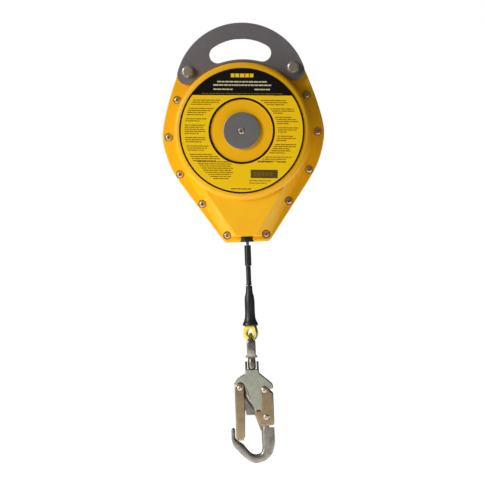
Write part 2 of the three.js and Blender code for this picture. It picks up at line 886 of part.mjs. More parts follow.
// The whole centre line: down, round the thimble and back up into the ferrule.
const ropeRoute = [
  [0, -ropeTop], [0, -120], [0, -150], [0, -180], [0, -205], [0, -225], [0, -237],
  [-strandOffset, -249], [-strandOffset, -257],
  [-strandOffset, -266], [-strandOffset, -274],
  ...loopRoute,
  [strandOffset, -274], [strandOffset, -266],
  [strandOffset, -257], [strandOffset, -251],
];

const routePoints = () => ropeRoute.map(([u, z]) => new THREE.Vector3(u, 0, z));

function wireRope() {
  return closed(tubeAlong(routePoints(), ropeRadius, 8, 64));
}

function sleeveProfile(outline, bore) {
  const top = outline[0][1];
  const bottom = outline[outline.length - 1][1];
  return [[bore, top], ...outline, [bore, bottom], [bore, top]];
}

function lineBumper() {
  const outline = [
    [bumperRadius - 1, -bumperTop], [bumperRadius, -bumperTop - 1],
    [bumperRadius, -bumperEnd + 1], [bumperRadius - 1, -bumperEnd],
  ];
  return closed(turnedUpright(sleeveProfile(outline, sleeveBore), 16));
}

function ropeSleeve() {
  const outline = [
    [sleeveRadius, -bumperEnd - gap],
    [sleeveRadius, -sleeveEnd + 13],
    [sleeveRadius + 0.6, -sleeveEnd + 10],
  ];
  return closed(turnedUpright(sleeveProfile(outline, sleeveBore), 16));
}

// Shrunk boot over the crimp, which flares over the top of the thimble.
function loopBoot() {
  const outside = [
    [sleeveRadius + 1.2, -sleeveEnd + 9], [sleeveRadius + 1.2, -sleeveEnd],
    [bootRadius, -ferruleTop], [bootRadius, -ferruleEnd],
    [bootRadius + 0.8, -ferruleEnd - 6],
    [bootMouthRadius + 1, -bootEnd + 5], [bootMouthRadius + 1, -bootEnd],
  ];
  const inside = outside.map(([r, z]) => [r - bootWall, z]);
  return closed(turnedUpright([...outside, ...inside.reverse(), outside[0]], 16));
}

function ellipseShape(halfWidth, halfDepth) {
  return new THREE.Shape(new THREE.EllipseCurve(0, 0, halfWidth, halfDepth).getPoints(20).slice(0, -1));
}

function loopFerrule() {
  const blank = new THREE.ExtrudeGeometry(ellipseShape(ferruleHalfWidth, ferruleHalfDepth), {
    depth: ferruleEnd - ferruleTop, bevelEnabled: false,
  });
  blank.translate(0, 0, -ferruleEnd);
  const bores = [-strandOffset, strandOffset].map((x) => solid(
    uprightRod(ropeRadius + 0.2, -ferruleEnd - 1, -ferruleTop + 1, x, 0, 16),
  ));
  return geometryOf(without(solid(blank), ...bores));
}

function teardrop(radius, neckHalf, neckHeight) {
  const z = -thimbleCentre;
  return mirroredShape([
    new THREE.Vector2(0, z - radius),
    ...arcPoints(0, z, radius, -80, 10, 9),
    new THREE.Vector2(neckHalf, -neckHeight),
  ]);
}

// A plastic thimble: a grooved teardrop ring that the rope's loop lies in.
function thimble() {
  const half = thimbleHalfThickness;
  const neck = thimbleCentre - thimbleNeckRise;
  const body = solid(plate(teardrop(thimbleRadius, thimbleNeckHalf, neck), -half, half));
  const holeTop = thimbleCentre - thimbleHole;
  const hole = solid(plate(teardrop(thimbleHole, holeTopHalf, holeTop), -half - 1, half + 1));
  const flare = teardrop(thimbleHole + thimbleFlare, holeTopHalf + thimbleFlare, holeTop - thimbleFlare);
  const frontFlare = solid(roundedPlate(flare, -half - 5, -half + thimbleFlare, thimbleFlare, 1));
  const backFlare = solid(roundedPlate(flare, half - thimbleFlare, half + 5, thimbleFlare, 1));
  const groove = solid(tubeAlong(routePoints(), ropeRadius + gap, 8, 64));
  return geometryOf(without(body, hole, frontFlare, backFlare, groove));
}

// ---------------------------------------------------------------- swivel eye

function stadium(half, top, bottom) {
  return new THREE.Shape([
    ...arcPoints(0, -top - half, half, 0, 180, 9),
    ...arcPoints(0, -bottom + half, half, 180, 360, 9),
  ]);
}

function swivelEye() {
  const outside = stadium(eyeHoleHalf + eyeBar, eyeCrown - eyeBar, eyeHoleBottom + eyeBar);
  const ring = roundedPlate(outside, -eyeBroadHalf, eyeBroadHalf, 2, 1);
  const opening = plate(stadium(eyeHoleHalf, eyeCrown, eyeHoleBottom), -20, 20);
  const arcHeight = -eyeCrown - eyeHoleHalf;
  const slimHeight = arcHeight + eyeTaper;
  const taper = new THREE.Shape([
    new THREE.Vector2(-eyeCrownRadius, slimHeight), new THREE.Vector2(-eyeBroadHalf, arcHeight),
    new THREE.Vector2(-eyeBroadHalf, -headRoof), new THREE.Vector2(eyeBroadHalf, -headRoof),
    new THREE.Vector2(eyeBroadHalf, arcHeight), new THREE.Vector2(eyeCrownRadius, slimHeight),
  ]);
  const flat = without(solid(ring), solid(opening));
  const legs = flat.rotate([0, 0, 90]).intersect(solid(plate(taper, -30, 30)));
  const crownLine = arcPoints(0, arcHeight, eyeHoleHalf + eyeCrownRadius, -6, 186, 12)
    .map(({ x, y }) => new THREE.Vector3(0, x, y));
  const crown = solid(tubeAlong(crownLine, eyeCrownRadius, 12, 16));
  const edgeOn = joined(legs, crown);
  const ringBottom = eyeHoleBottom + eyeBar - 1.5;
  const shank = solid(turnedUpright([
    [0, -ringBottom],
    [eyeBulbRadius - 1, -ringBottom],
    [eyeBulbRadius, -prongTop - 1],
    [eyeBulbRadius, -cupFloor + gap + 2],
    [eyeShankRadius + 1, -cupFloor + gap],
    [eyeShankRadius, -cupFloor + gap],
    [eyeShankRadius, -headRoof - gap],
    [eyeHeadRadius, -headRoof - gap],
    [eyeHeadRadius, -headRoof - gap - eyeHeadHeight],
    [0, -headRoof - gap - eyeHeadHeight],
  ], 16));
  const pin = solid(crossPinRod(crossPinRadius + gap, 20));
  return geometryOf(without(joined(edgeOn, shank), pin));
}

const crossPinHeight = -(eyeHoleBottom + 2.2);

function crossPinRod(radius, half) {
  const geometry = new THREE.CylinderGeometry(radius, radius, 2 * half, 12);
  return geometry.rotateZ(Math.PI / 2).translate(0, 0, crossPinHeight);
}

function eyeCrossPin() {
  return closed(crossPinRod(crossPinRadius, crossPinHalf));
}

// ---------------------------------------------------------------- snap hook

// The forged bar: spine, bowl and nose, as one outline in the front plane.
function hookBarShape() {
  const outer = new THREE.SplineCurve([
    [30.4, -446], [30.6, -470], [25, -486.5], [13, -495.5], [1, -498],
    [-11.5, -493], [-24, -481], [-32.5, -470.5], [-34.4, -461], [-34.4, -446],
  ].map(([x, z]) => new THREE.Vector2(x, z)));
  const inner = new THREE.SplineCurve([
    [-20, -466], [-15.8, -471], [-8.5, -480], [-2.4, -484.5],
  ].map(([x, z]) => new THREE.Vector2(x, z)));
  const bowl = new THREE.SplineCurve([
    [6, -484.5], [10.2, -481], [11.2, -473], [10.4, -452], [2, -426],
  ].map(([x, z]) => new THREE.Vector2(x, z)));
  return new THREE.Shape([
    ...outer.getPoints(18),
    new THREE.Vector2(-33.4, -444.6),
    new THREE.Vector2(-29.8, -444.6),
    new THREE.Vector2(-28.9, -446),
    new THREE.Vector2(-28.9, -461),
    new THREE.Vector2(-26.5, -465.2),
    ...inner.getPoints(5),
    ...bowl.getPoints(9),
    new THREE.Vector2(14, -426),
    new THREE.Vector2(22.6, -446),
  ]);
}

// The flat head behind the lever and gate.
function headWebShape() {
  const [pivotX, pivotZ] = gatePivot;
  return new THREE.Shape([
    new THREE.Vector2(22.6, -450),
    new THREE.Vector2(22.6, -380),
    new THREE.Vector2(-8, -366),
    ...arcPoints(pivotX, pivotZ, 5, 60, 230, 6),
    new THREE.Vector2(-11.6, -420),
    new THREE.Vector2(-10.6, -425.4),
    new THREE.Vector2(2, -425.4),
    new THREE.Vector2(10.4, -450),
  ]);
}

// The thick cheeks of the head, clear of the gate's swing, with the shoulder over it.
function headCheekShape() {
  const [pivotX, pivotZ] = gatePivot;
  return new THREE.Shape([
    new THREE.Vector2(-neckHalf, -363),
    new THREE.Vector2(-neckHalf + 1, -cupFloor),
    new THREE.Vector2(neckHalf, -cupFloor),
    new THREE.Vector2(neckHalf, -362.5),
    new THREE.Vector2(29.4, -380.5),
    new THREE.Vector2(30.4, -382.5),
    new THREE.Vector2(24.4, -386.5),
    new THREE.Vector2(22.6, -392),
    new THREE.Vector2(22.6, -424),
    new THREE.Vector2(13.5, -418.5),
    new THREE.Vector2(3.4, -418),
    new THREE.Vector2(-4.4, -403),
    new THREE.Vector2(-6, -390),
    ...arcPoints(pivotX, pivotZ, gateTopRadius + runningGap, 20, 155, 8),
    new THREE.Vector2(-25, -373.5),
    new THREE.Vector2(-17, -368.4),
  ]);
}

function prongs() {
  const cup = without(
    solid(uprightRod(neckHalf, -364, -prongTop, 0, 0, 28)),
    solid(uprightRod(prongInner, -cupFloor, -prongTop + 5, 0, 0, 28)),
    solid(block(-30, 30, -20, -headHalfDepth, -400, -300)),
    solid(block(-30, 30, headHalfDepth, 20, -400, -300)),
  );
  return without(
    cup,
    solid(block(-prongInner, prongInner, -20, 20, -cupFloor, -300)),
  );
}

function leverSlot(grow) {
  const [x, z] = leverStop;
  const reach = Math.hypot(leverStop[0] - leverPivot[0], leverStop[1] - leverPivot[1]);
  const travel = reach * Math.sin(leverTravel * radians);
  const r = leverRivetRadius + grow;
  return solid(block(x - r, x + r + travel, -20, 20, z - r - 0.4, z + r + 0.4));
}

function hookBody() {
  const bar = solid(roundedPlate(hookBarShape(), -barHalfDepth, barHalfDepth, barEdge, 1));
  const web = solid(plate(headWebShape(), -webHalfDepth, webHalfDepth));
  const cheeks = solid(plate(headCheekShape(), -headHalfDepth, headHalfDepth));
  const leverBed = solid(block(22.6, 40, -20, 20, -445.6, -386.5));
  const swivelBore = solid(uprightRod(eyeShankRadius + gap, -headRoof - 1, -cupFloor + 1));
  const swivelRoom = solid(uprightRod(
    eyeHeadRadius + gap, -headRoof - eyeHeadHeight - 2 * gap - 0.3, -headRoof, 0, 0, 20,
  ));
  const [gateX, gateZ] = gatePivot;
  const springPockets = [
    solid(rod(4.6, -webHalfDepth - 1, -1.1, gateX, gateZ, 12)),
    solid(rod(4.1, -headHalfDepth - 1, -4.3, ...leverPivot, 12)),
  ];
  return geometryOf(without(
    joined(bar, web, cheeks, prongs()),
    leverBed,
    swivelBore,
    swivelRoom,
    ...springPockets,
    solid(rod(gateRivetRadius + gap, -20, 20, gateX, gateZ, 12)),
    solid(rod(leverRivetRadius + gap, -20, 20, ...leverPivot, 12)),
    solid(rod(leverRivetRadius + gap, -20, 20, ...leverStop, 12)),
  ));
}

// A rivet along Y with a round head at each end.
function rivet(radius, half, [x, z]) {
  const profile = [
    [0, -half - rivetHeadHeight],
    [rivetHeadRadius * 0.6, -half - rivetHeadHeight],
    [rivetHeadRadius, -half],
    [radius, -half],
    [radius, half],
    [rivetHeadRadius, half],
    [rivetHeadRadius * 0.6, half + rivetHeadHeight],
    [0, half + rivetHeadHeight],
  ];
  return closed(turned(profile, 12).translate(x, 0, z));
}

// The gate: a channel folded round the web, open towards the bowl.
function hookGate() {
  const [x, z] = gatePivot;
  const outline = new THREE.Shape([
    new THREE.Vector2(x - gateBack, z - gateLength + 1),
    new THREE.Vector2(x - gateBack + 1, z - gateLength),
    new THREE.Vector2(x + 1, z - gateLength),
    new THREE.Vector2(x + gateFront - 1.4, z - gateLength + 4),
    new THREE.Vector2(x + gateFront, z - 41),
    new THREE.Vector2(x + gateFront, z),
    ...arcPoints(x, z, gateTopRadius, 42, 168, 7),
  ]);
  const inside = new THREE.Shape([
    new THREE.Vector2(x - gateBack + gateWall, z - gateLength - 5),
    new THREE.Vector2(x + 30, z - gateLength - 5),
    new THREE.Vector2(x + 30, z + 30),
    new THREE.Vector2(x - gateBack + gateWall, z + 30),
  ]);
  const depth = gateHalfDepth - gateWall;
  const channel = without(
    solid(plate(outline, -gateHalfDepth, gateHalfDepth)),
    solid(plate(inside, -depth, depth)),
    solid(rod(gateRivetRadius + gap, -20, 20, x, z, 12)),
  );
  const end = z - gateLength;
  const tip = solid(block(
    x - gateBack + 1, x + gateFront - 3, -depth - 0.5, depth + 0.5, end, end + gateTipLength,
  ));
  return geometryOf(joined(channel, tip));
}

// The lock lever: a channel folded round the spine, with an arm towards the gate.
function lockLever() {
  const [x, z] = leverPivot;
  const outline = new THREE.Shape([
    new THREE.Vector2(leverBack, -394),
    ...arcPoints(x, z, 5.6, 30, 180, 8),
    new THREE.Vector2(leverLeft, -396),
    new THREE.Vector2(leverLeft, -419),
    new THREE.Vector2(3.2, -419.6),
    new THREE.Vector2(2.6, -424),
    new THREE.Vector2(9.4, leverFoot + 1),
    new THREE.Vector2(12.5, leverFoot),
    new THREE.Vector2(leverBack - 1.5, leverFoot),
    new THREE.Vector2(leverBack, leverFoot + 1.5),
  ]);
  const depth = leverHalfDepth - leverWall;
  const inside = solid(block(-20, leverBack - leverWall, -depth, depth, -460, -370));
  return geometryOf(without(
    solid(plate(outline, -leverHalfDepth, leverHalfDepth)),
    inside,
    solid(rod(leverRivetRadius + gap, -20, 20, x, z, 12)),
    leverSlot(gap),
  ));
}

function gateSpring() {
  const coil = coilRing(gateRivetRadius + gap, 4.2, 1.8, 2);
  return closed(coil.translate(gatePivot[0], -webHalfDepth + gap, gatePivot[1]));
}

function leverSpring() {
  const [x, z] = leverPivot;
  const coil = coilRing(leverRivetRadius + gap, 3.8, 2, 2);
  return closed(coil.translate(x, -headHalfDepth + gap, z));
}

// ---------------------------------------------------------------- materials

function finish(color, roughness, metalness) {
  return new THREE.MeshStandardMaterial({ color, roughness, metalness });
}

const paint = finish(0xf6b80e, 0.38, 0.1);
const labelFilm = finish(0xf7d30f, 0.45, 0);
const plateSteel = finish(0x7d7678, 0.42, 0.9);
const zincSteel = finish(0xb0a8a0, 0.35, 0.95);
const forgedSteel = finish(0x98948a, 0.4, 0.95);
const goldZinc = finish(0xa8905a, 0.35, 0.9);
const darkSteel = finish(0x4a4a4d, 0.5, 0.85);
const castAlloy = finish(0xa9abad, 0.45, 0.9);
const bronze = finish(0xa87f3e, 0.45, 0.9);
const friction = finish(0x4d4038, 0.9, 0);
const ropeWire = finish(0x8f9092, 0.45, 0.9);
const blackRubber = finish(0x151515, 0.6, 0);
const blackNylon = finish(0x101012, 0.4, 0);
const lemonPlastic = finish(0xece06a, 0.4, 0);

// ---------------------------------------------------------------- assembly

const lifeline = new THREE.Group();
const aboutDrum = new THREE.Group();
aboutDrum.position.set(0, plateMiddle, -seatHeight);
lifeline.add(aboutDrum);
const loopPlane = new THREE.Group();
loopPlane.rotation.z = thimbleTurn * radians;
aboutDrum.add(loopPlane);

function add(group, name, geometry, material) {
  const mesh = new THREE.Mesh(geometry, material);
  mesh.name = name;
  group.add(mesh);
}

add(aboutDrum, 'front_cover', frontCover(), paint);
add(aboutDrum, 'rear_cover', rearCover(), paint);
add(aboutDrum, 'cover_gasket', gasket(), blackRubber);
add(aboutDrum, 'handle_plate', handlePlate(), plateSteel);
boltPlaces().forEach(([x, z], i) => {
  const side = i === 0 ? 'left' : 'right';
  add(aboutDrum, `handle_bolt_${side}`, handleBolt(x, z), zincSteel);
  add(aboutDrum, `handle_nut_${side}`, handleNut(x, z), zincSteel);
});
allScrewPlaces().forEach(([x, z], i) => {
  add(aboutDrum, `cover_screw_${i + 1}`, coverScrew(x, z), zincSteel);
});
add(aboutDrum, 'label_plate', labelPlate(), labelFilm);
add(aboutDrum, 'front_hub_cap', closed(hubCap()), plateSteel);
add(aboutDrum, 'rear_hub_cap', closed(backToFront(hubCap())), plateSteel);
add(aboutDrum, 'front_hub_screw', hubScrew(), zincSteel);
add(aboutDrum, 'main_shaft', mainShaft(), darkSteel);
add(aboutDrum, 'nozzle_bushing', nozzleBushing(), blackNylon);
add(aboutDrum, 'spring_cup', springCup(), castAlloy);
add(aboutDrum, 'power_spring', powerSpring(), darkSteel);
add(aboutDrum, 'rope_lead', ropeLead(), ropeWire);

add(aboutDrum, 'drum_spool', drumSpool(), castAlloy);
add(aboutDrum, 'drum_flange_front', frontDrumFlange(), castAlloy);
add(aboutDrum, 'drum_flange_rear', rearDrumFlange(), castAlloy);
add(aboutDrum, 'wound_rope', woundRope(), ropeWire);
add(aboutDrum, 'drum_bush', drumBush(), bronze);
pawlPivots().forEach(([x, z], i) => {
  add(aboutDrum, `pawl_pin_${i + 1}`, pawlPin(x, z), darkSteel);
  add(aboutDrum, `pawl_spring_${i + 1}`, pawlSpring(x, z), zincSteel);
  add(aboutDrum, `pawl_${i + 1}`, pawlAt(i), darkSteel);
});

add(aboutDrum, 'brake_ring', brakeRing(), darkSteel);
add(aboutDrum, 'friction_disc_rear', washerDisc(rearFriction, frictionThickness, frictionRadius), friction);
add(aboutDrum, 'friction_disc_front', washerDisc(frontFriction, frictionThickness, frictionRadius), friction);
const pressureDisc = washerDisc(pressurePlateBack, pressurePlateThickness, frictionRadius);
add(aboutDrum, 'pressure_plate', pressureDisc, zincSteel);
add(aboutDrum, 'cone_washer', coneWasher(), darkSteel);
add(aboutDrum, 'shaft_nut', shaftNut(), zincSteel);

add(loopPlane, 'wire_rope', wireRope(), ropeWire);
add(loopPlane, 'loop_ferrule', loopFerrule(), castAlloy);
add(loopPlane, 'loop_thimble', thimble(), lemonPlastic);
add(aboutDrum, 'line_bumper', lineBumper(), blackRubber);
add(aboutDrum, 'rope_sleeve', ropeSleeve(), blackRubber);
add(aboutDrum, 'loop_boot', loopBoot(), blackRubber);

add(aboutDrum, 'swivel_eye', swivelEye(), forgedSteel);
add(aboutDrum, 'eye_cross_pin', eyeCrossPin(), zincSteel);
add(aboutDrum, 'hook_body', hookBody(), forgedSteel);
add(aboutDrum, 'hook_gate', hookGate(), goldZinc);
add(aboutDrum, 'lock_lever', lockLever(), goldZinc);
add(aboutDrum, 'gate_rivet', rivet(gateRivetRadius, gateHalfDepth + gap, gatePivot), zincSteel);
add(aboutDrum, 'lever_rivet', rivet(leverRivetRadius, leverHalfDepth + gap, leverPivot), zincSteel);
add(aboutDrum, 'lever_stop_rivet', rivet(leverRivetRadius, leverHalfDepth + gap, leverStop), zincSteel);
add(aboutDrum, 'gate_spring', gateSpring(), zincSteel);
add(aboutDrum, 'lever_spring', leverSpring(), zincSteel);

export default lifeline;
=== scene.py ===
# %% [markdown]
# # A self retracting lifeline
# A fall arrest block hangs from an anchor above a worker. A drum inside the yellow
# casing pays out a short wire rope, and a snap hook at its end goes on the harness.
# The measured model is loaded first and stays as it is. Every visible piece is then
# made again with finer edges and real surfaces, in the same places.

# %% Load the measured model
import math
import random

import bmesh
import bpy
from mathutils import Matrix, Vector, noise


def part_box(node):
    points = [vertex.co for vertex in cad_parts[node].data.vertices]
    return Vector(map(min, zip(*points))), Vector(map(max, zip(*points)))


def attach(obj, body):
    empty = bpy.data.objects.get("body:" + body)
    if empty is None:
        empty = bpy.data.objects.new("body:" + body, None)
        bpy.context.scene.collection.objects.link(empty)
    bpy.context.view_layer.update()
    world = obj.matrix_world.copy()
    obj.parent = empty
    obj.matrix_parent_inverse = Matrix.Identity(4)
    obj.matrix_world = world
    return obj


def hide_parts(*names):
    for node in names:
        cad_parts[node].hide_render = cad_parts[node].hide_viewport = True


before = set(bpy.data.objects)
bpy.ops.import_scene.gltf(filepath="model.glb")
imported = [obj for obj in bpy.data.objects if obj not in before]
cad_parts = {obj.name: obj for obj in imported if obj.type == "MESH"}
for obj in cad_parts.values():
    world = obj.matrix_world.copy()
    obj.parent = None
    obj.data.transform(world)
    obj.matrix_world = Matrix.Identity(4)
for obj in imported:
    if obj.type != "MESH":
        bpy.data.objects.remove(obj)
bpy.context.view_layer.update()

# %% [markdown]
# Lengths below are in millimetres about the drum's axle, because the maker of such a
# block measures from it too. One function turns them into the model's metres.

# %% Millimetres about the drum's axle
MM = 0.001
PARTING_Y = 0.0113
AXLE_Z = -0.1396748


def at(x, y, z):
    return Vector((x * MM, y * MM + PARTING_Y, z * MM + AXLE_Z))


# Mirrors a front piece through the plane where the two covers part.
TO_REAR = Matrix.Translation((0, 2 * PARTING_Y, 0)) @ Matrix.Scale(-1, 4, (0, 1, 0))
# Stands a flat outline up, from the ground plane to the front's plane.
UPRIGHT = Matrix.Rotation(math.pi / 2, 4, "X")
print("axle is at", at(0, 0, 0))

# %% [markdown]
# The camera looks almost straight at the label, a little from the right, and is rolled
# by two degrees because the block hangs slightly askew in it.

# %% Camera
LOOK_AT = Vector((-0.0068, 0, -0.3052))
CAMERA_AWAY = 3.0
CAMERA_RIGHT = math.radians(3)
CAMERA_ROLL = math.radians(-2.1)
PICTURE_HEIGHT = 0.7275

camera_data = bpy.data.cameras.new("camera")
camera_data.sensor_width = 36
camera_data.lens = 36 * CAMERA_AWAY / PICTURE_HEIGHT
camera = bpy.data.objects.new("camera", camera_data)
camera.location = LOOK_AT + CAMERA_AWAY * Vector(
    (math.sin(CAMERA_RIGHT), -math.cos(CAMERA_RIGHT), 0))
facing = (LOOK_AT - camera.location).to_track_quat("-Z", "Y").to_matrix()
camera.rotation_euler = (facing @ Matrix.Rotation(CAMERA_ROLL, 3, "Z")).to_euler()
bpy.context.scene.collection.objects.link(camera)
bpy.context.scene.camera = camera
print("lens", round(camera_data.lens), "mm")

# %% [markdown]
# Soft light comes from four large panels, as round a product in a studio. The brightest
# is in front on the left, so the right flanks of the casing turn to orange. The air
# behind shows white to the camera, but it is dim as a light, or it would flatten them.

# %% Light panels


def light_panel(name, place, size, watts):
    data = bpy.data.lights.new(name, "AREA")
    data.shape = "RECTANGLE"
    data.size, data.size_y = size
    data.energy = watts
    panel = bpy.data.objects.new(name, data)
    panel.location = place
    aim = Vector((0, 0, -0.28)) - panel.location
    panel.rotation_euler = aim.to_track_quat("-Z", "Y").to_euler()
    bpy.context.scene.collection.objects.link(panel)
    return panel


light_panel("key_panel", Vector((-2.2, -1.6, 0.6)), (0.9, 1.2), 60)
light_panel("fill_panel", Vector((1.9, -1.6, 0.1)), (1.0, 1.6), 1.5)
light_panel("top_panel", Vector((-0.2, 0.2, 1.7)), (1.6, 1.2), 6)
light_panel("low_panel", Vector((0.0, -1.4, -1.3)), (1.4, 0.6), 1.5)
studio_air = bpy.data.worlds.new("pale_studio_air")
studio_air.use_nodes = True
air_nodes = studio_air.node_tree
backdrop = air_nodes.nodes["Background"]
backdrop.inputs["Color"].default_value = (1.0, 1.0, 1.0, 1.0)
seen = air_nodes.nodes.new("ShaderNodeLightPath")
strength = air_nodes.nodes.new("ShaderNodeMapRange")
strength.inputs["To Min"].default_value = 0.05
strength.inputs["To Max"].default_value = 1.0
air_nodes.links.new(seen.outputs["Is Camera Ray"], strength.inputs["Value"])
air_nodes.links.new(strength.outputs[0], backdrop.inputs["Strength"])
bpy.context.scene.world = studio_air
bpy.context.scene.view_settings.view_transform = "Standard"

# %% [markdown]
# A finish starts from a colour as seen on a screen, which Blender wants as linear light.

# %% Finishes: colour and the one node function


def linear(hex_colour):
    values = [int(hex_colour[i:i + 2], 16) / 255 for i in (1, 3, 5)]
    return [v / 12.92 if v <= 0.04045 else ((v + 0.055) / 1.055) ** 2.4 for v in values] + [1]


def node(tree, kind, inputs=None, **settings):
    """Adds one node: plain values are set on its sockets, and sockets are linked."""
    made = tree.nodes.new(kind)
    for name, value in settings.items():
        setattr(made, name, value)
    for key, value in (inputs or {}).items():
        if isinstance(value, bpy.types.NodeSocket):
            tree.links.new(value, made.inputs[key])
        else:
            made.inputs[key].default_value = value
    return made


# %% [markdown]
# Most finishes here are one recipe: broad patches of two near colours, a fine grain
# that moves the roughness, and the same grain raised as a bump. What the real surface
# is decides the numbers: powder coat has an orange peel about 1.5 mm across, brushed
# steel has scratches a hundred times longer than wide, rubber has a fine matt grain.

# %% Finishes: the shared recipe


def finish(name, colours, patch=25, grain=1.5, stretch=(1, 1, 1), roughness=(0.35, 0.45),
           height=0.02, detail=3, fleck=None, **shader):
    """patch and grain are sizes in millimetres, height is the grain's height."""
    material = bpy.data.materials.new(name)
    material.use_nodes = True
    tree = material.node_tree
    tree.nodes.clear()
    place = node(tree, "ShaderNodeTexCoord").outputs["Object"]
    drawn = node(tree, "ShaderNodeMapping", {"Vector": place, "Scale": stretch}).outputs[0]
    patches = node(tree, "ShaderNodeTexNoise",
                   {"Vector": place, "Scale": 1000 / patch, "Detail": 4, "Roughness": 0.6})
    grains = node(tree, "ShaderNodeTexNoise",
                  {"Vector": drawn, "Scale": 1000 / grain, "Detail": detail})
    blend = node(tree, "ShaderNodeMapRange",
                 {"Value": patches.outputs[0], 1: 0.35, 2: 0.65}, clamp=True)
    colour = node(tree, "ShaderNodeMix",
                  {0: blend.outputs[0], 6: linear(colours[0]), 7: linear(colours[1])},
                  data_type="RGBA").outputs[2]
    if fleck:
        specks = node(tree, "ShaderNodeMapRange",
                      {"Value": grains.outputs[0], 1: 0.5, 2: 0.72}, clamp=True)
        colour = node(tree, "ShaderNodeMix",
                      {0: specks.outputs[0], 6: colour, 7: linear(fleck)},
                      data_type="RGBA").outputs[2]
    rough = node(tree, "ShaderNodeMapRange",
                 {"Value": grains.outputs[0], 1: 0.3, 2: 0.7,
                  3: roughness[0], 4: roughness[1]}, clamp=True)
    bump = node(tree, "ShaderNodeBump",
                {"Height": grains.outputs[0], "Distance": height * MM, "Strength": 1.0})
    surface = node(tree, "ShaderNodeBsdfPrincipled",
                   {"Base Color": colour, "Roughness": rough.outputs[0],
                    "Normal": bump.outputs[0], **shader})
    node(tree, "ShaderNodeOutputMaterial", {"Surface": surface.outputs[0]})
    return material


# %% [markdown]
# The casing is pressed steel with an orange yellow powder coat: baked powder keeps a
# slight orange peel and a soft gloss under a clear top layer.

# %% Casing and label finishes
powder_coat = finish("yellow_powder_coat", ("#FFB800", "#FFC000"), patch=60, grain=1.6,
                     roughness=(0.38, 0.5), height=0.03,
                     **{"Coat Weight": 0.1, "Coat Roughness": 0.3, "Specular IOR Level": 0.35})
label_yellow = finish("label_film_yellow", ("#FFCC00", "#FFD000"), patch=40, grain=0.8,
                      roughness=(0.42, 0.52), height=0.006, **{"Specular IOR Level": 0.3})
label_black = finish("label_ink_black", ("#0C0906", "#120E09"), patch=30, grain=0.8,
                     roughness=(0.42, 0.52), height=0.006, **{"Specular IOR Level": 0.2})
label_olive = finish("label_ink_olive", ("#5E4E10", "#50420D"), patch=30, grain=0.8,
                     roughness=(0.4, 0.5), height=0.006)
label_ochre = finish("label_ink_ochre", ("#7E5E04", "#745603"), patch=20, grain=0.6,
                     roughness=(0.4, 0.5), height=0.006)
label_pale = finish("label_ink_pale", ("#D9D2A6", "#CFC793"), patch=20, grain=0.6,
                    roughness=(0.4, 0.5), height=0.006)
print("casing and label finishes:", len(bpy.data.materials))

# %% [markdown]
# The handle plate is cut from grey stainless sheet and brushed along its length. The
# scratches are drawn 0.4 mm wide and 25 times as long, coarser than the real ones, so
# that they still show in a picture of the whole block.

# %% Steel finishes
brushed_sheet = finish("brushed_stainless_sheet", ("#948E90", "#9C9698"), patch=45,
                       grain=0.4, stretch=(0.04, 1, 1), roughness=(0.44, 0.54),
                       height=0.005, Metallic=0.85)
turned_steel = finish("turned_stainless_cap", ("#9C9898", "#A29E9D"), patch=30, grain=0.35,
                      stretch=(0.15, 1, 1), roughness=(0.4, 0.5), height=0.004,
                      Metallic=0.85)
bright_zinc = finish("bright_zinc_plate", ("#D3C6B6", "#C2B4A4"), patch=5, grain=0.5,
                     roughness=(0.34, 0.5), height=0.006, Metallic=0.9)
forged_steel = finish("forged_plated_steel", ("#A7A295", "#89847A"), patch=9, grain=0.7,
                      roughness=(0.3, 0.5), height=0.05, detail=6, Metallic=1.0)
cheek_steel = finish("shot_blasted_cheek_steel", ("#B7B8A6", "#A6A796"), patch=7,
                     grain=0.8, roughness=(0.4, 0.62), height=0.07, detail=6,
                     fleck="#C5C6B6", Metallic=0.8)
gold_zinc = finish("yellow_chromate_zinc", ("#C9AE86", "#A9987A"), patch=14, grain=0.5,
                   roughness=(0.26, 0.42), height=0.008, fleck="#B8A684", Metallic=1.0)
oiled_steel = finish("oiled_hardened_steel", ("#4C4C50", "#3B3B3E"), patch=12, grain=0.6,
                     roughness=(0.28, 0.5), height=0.01, Metallic=1.0)
wire_steel = finish("galvanised_wire", ("#9A9C9E", "#7E8082"), patch=4, grain=0.4,
                    roughness=(0.28, 0.48), height=0.01, Metallic=1.0)
cast_alloy = finish("machined_cast_alloy", ("#B4B5B6", "#A2A4A5"), patch=14, grain=0.5,
                    roughness=(0.34, 0.5), height=0.015, Metallic=1.0)
sintered_bronze = finish("sintered_bronze", ("#A8823F", "#94713A"), patch=6, grain=0.4,
                         roughness=(0.4, 0.6), height=0.03, Metallic=1.0)

# %% [markdown]
# Rubber, nylon and the brake's lining are dull because light sinks into them. The
# thimble is a lemon coloured moulding that lets a little light through its thin lips.

# %% Plastic and rubber finishes
sleeve_rubber = finish("black_sleeve_rubber", ("#1B1B1D", "#252528"), patch=10, grain=0.5,
                       roughness=(0.34, 0.52), height=0.02, **{"Specular IOR Level": 0.6})
moulded_nylon = finish("black_moulded_nylon", ("#131314", "#1B1B1C"), patch=10, grain=0.4,
                       roughness=(0.4, 0.55), height=0.015)
brake_lining = finish("brake_lining", ("#4B3E36", "#5B4B40"), patch=4, grain=0.7,
                      roughness=(0.7, 0.9), height=0.05, fleck="#7A6450")
lemon_moulding = finish("lemon_moulded_plastic", ("#FFE85A", "#FCDF44"), patch=12,
                        grain=0.9, roughness=(0.3, 0.42), height=0.01,
                        **{"Subsurface Weight": 0.25, "Subsurface Scale": 0.003,
                           "Subsurface Radius": (1.0, 0.8, 0.3)})
studio_paper = finish("studio_paper", ("#FBFBFA", "#F8F8F7"), patch=900, grain=4,
                      roughness=(0.85, 0.95), height=0.01,
                      **{"Emission Color": (1.0, 1.0, 1.0, 1.0), "Emission Strength": 1.0})
print(len(bpy.data.materials), "materials")

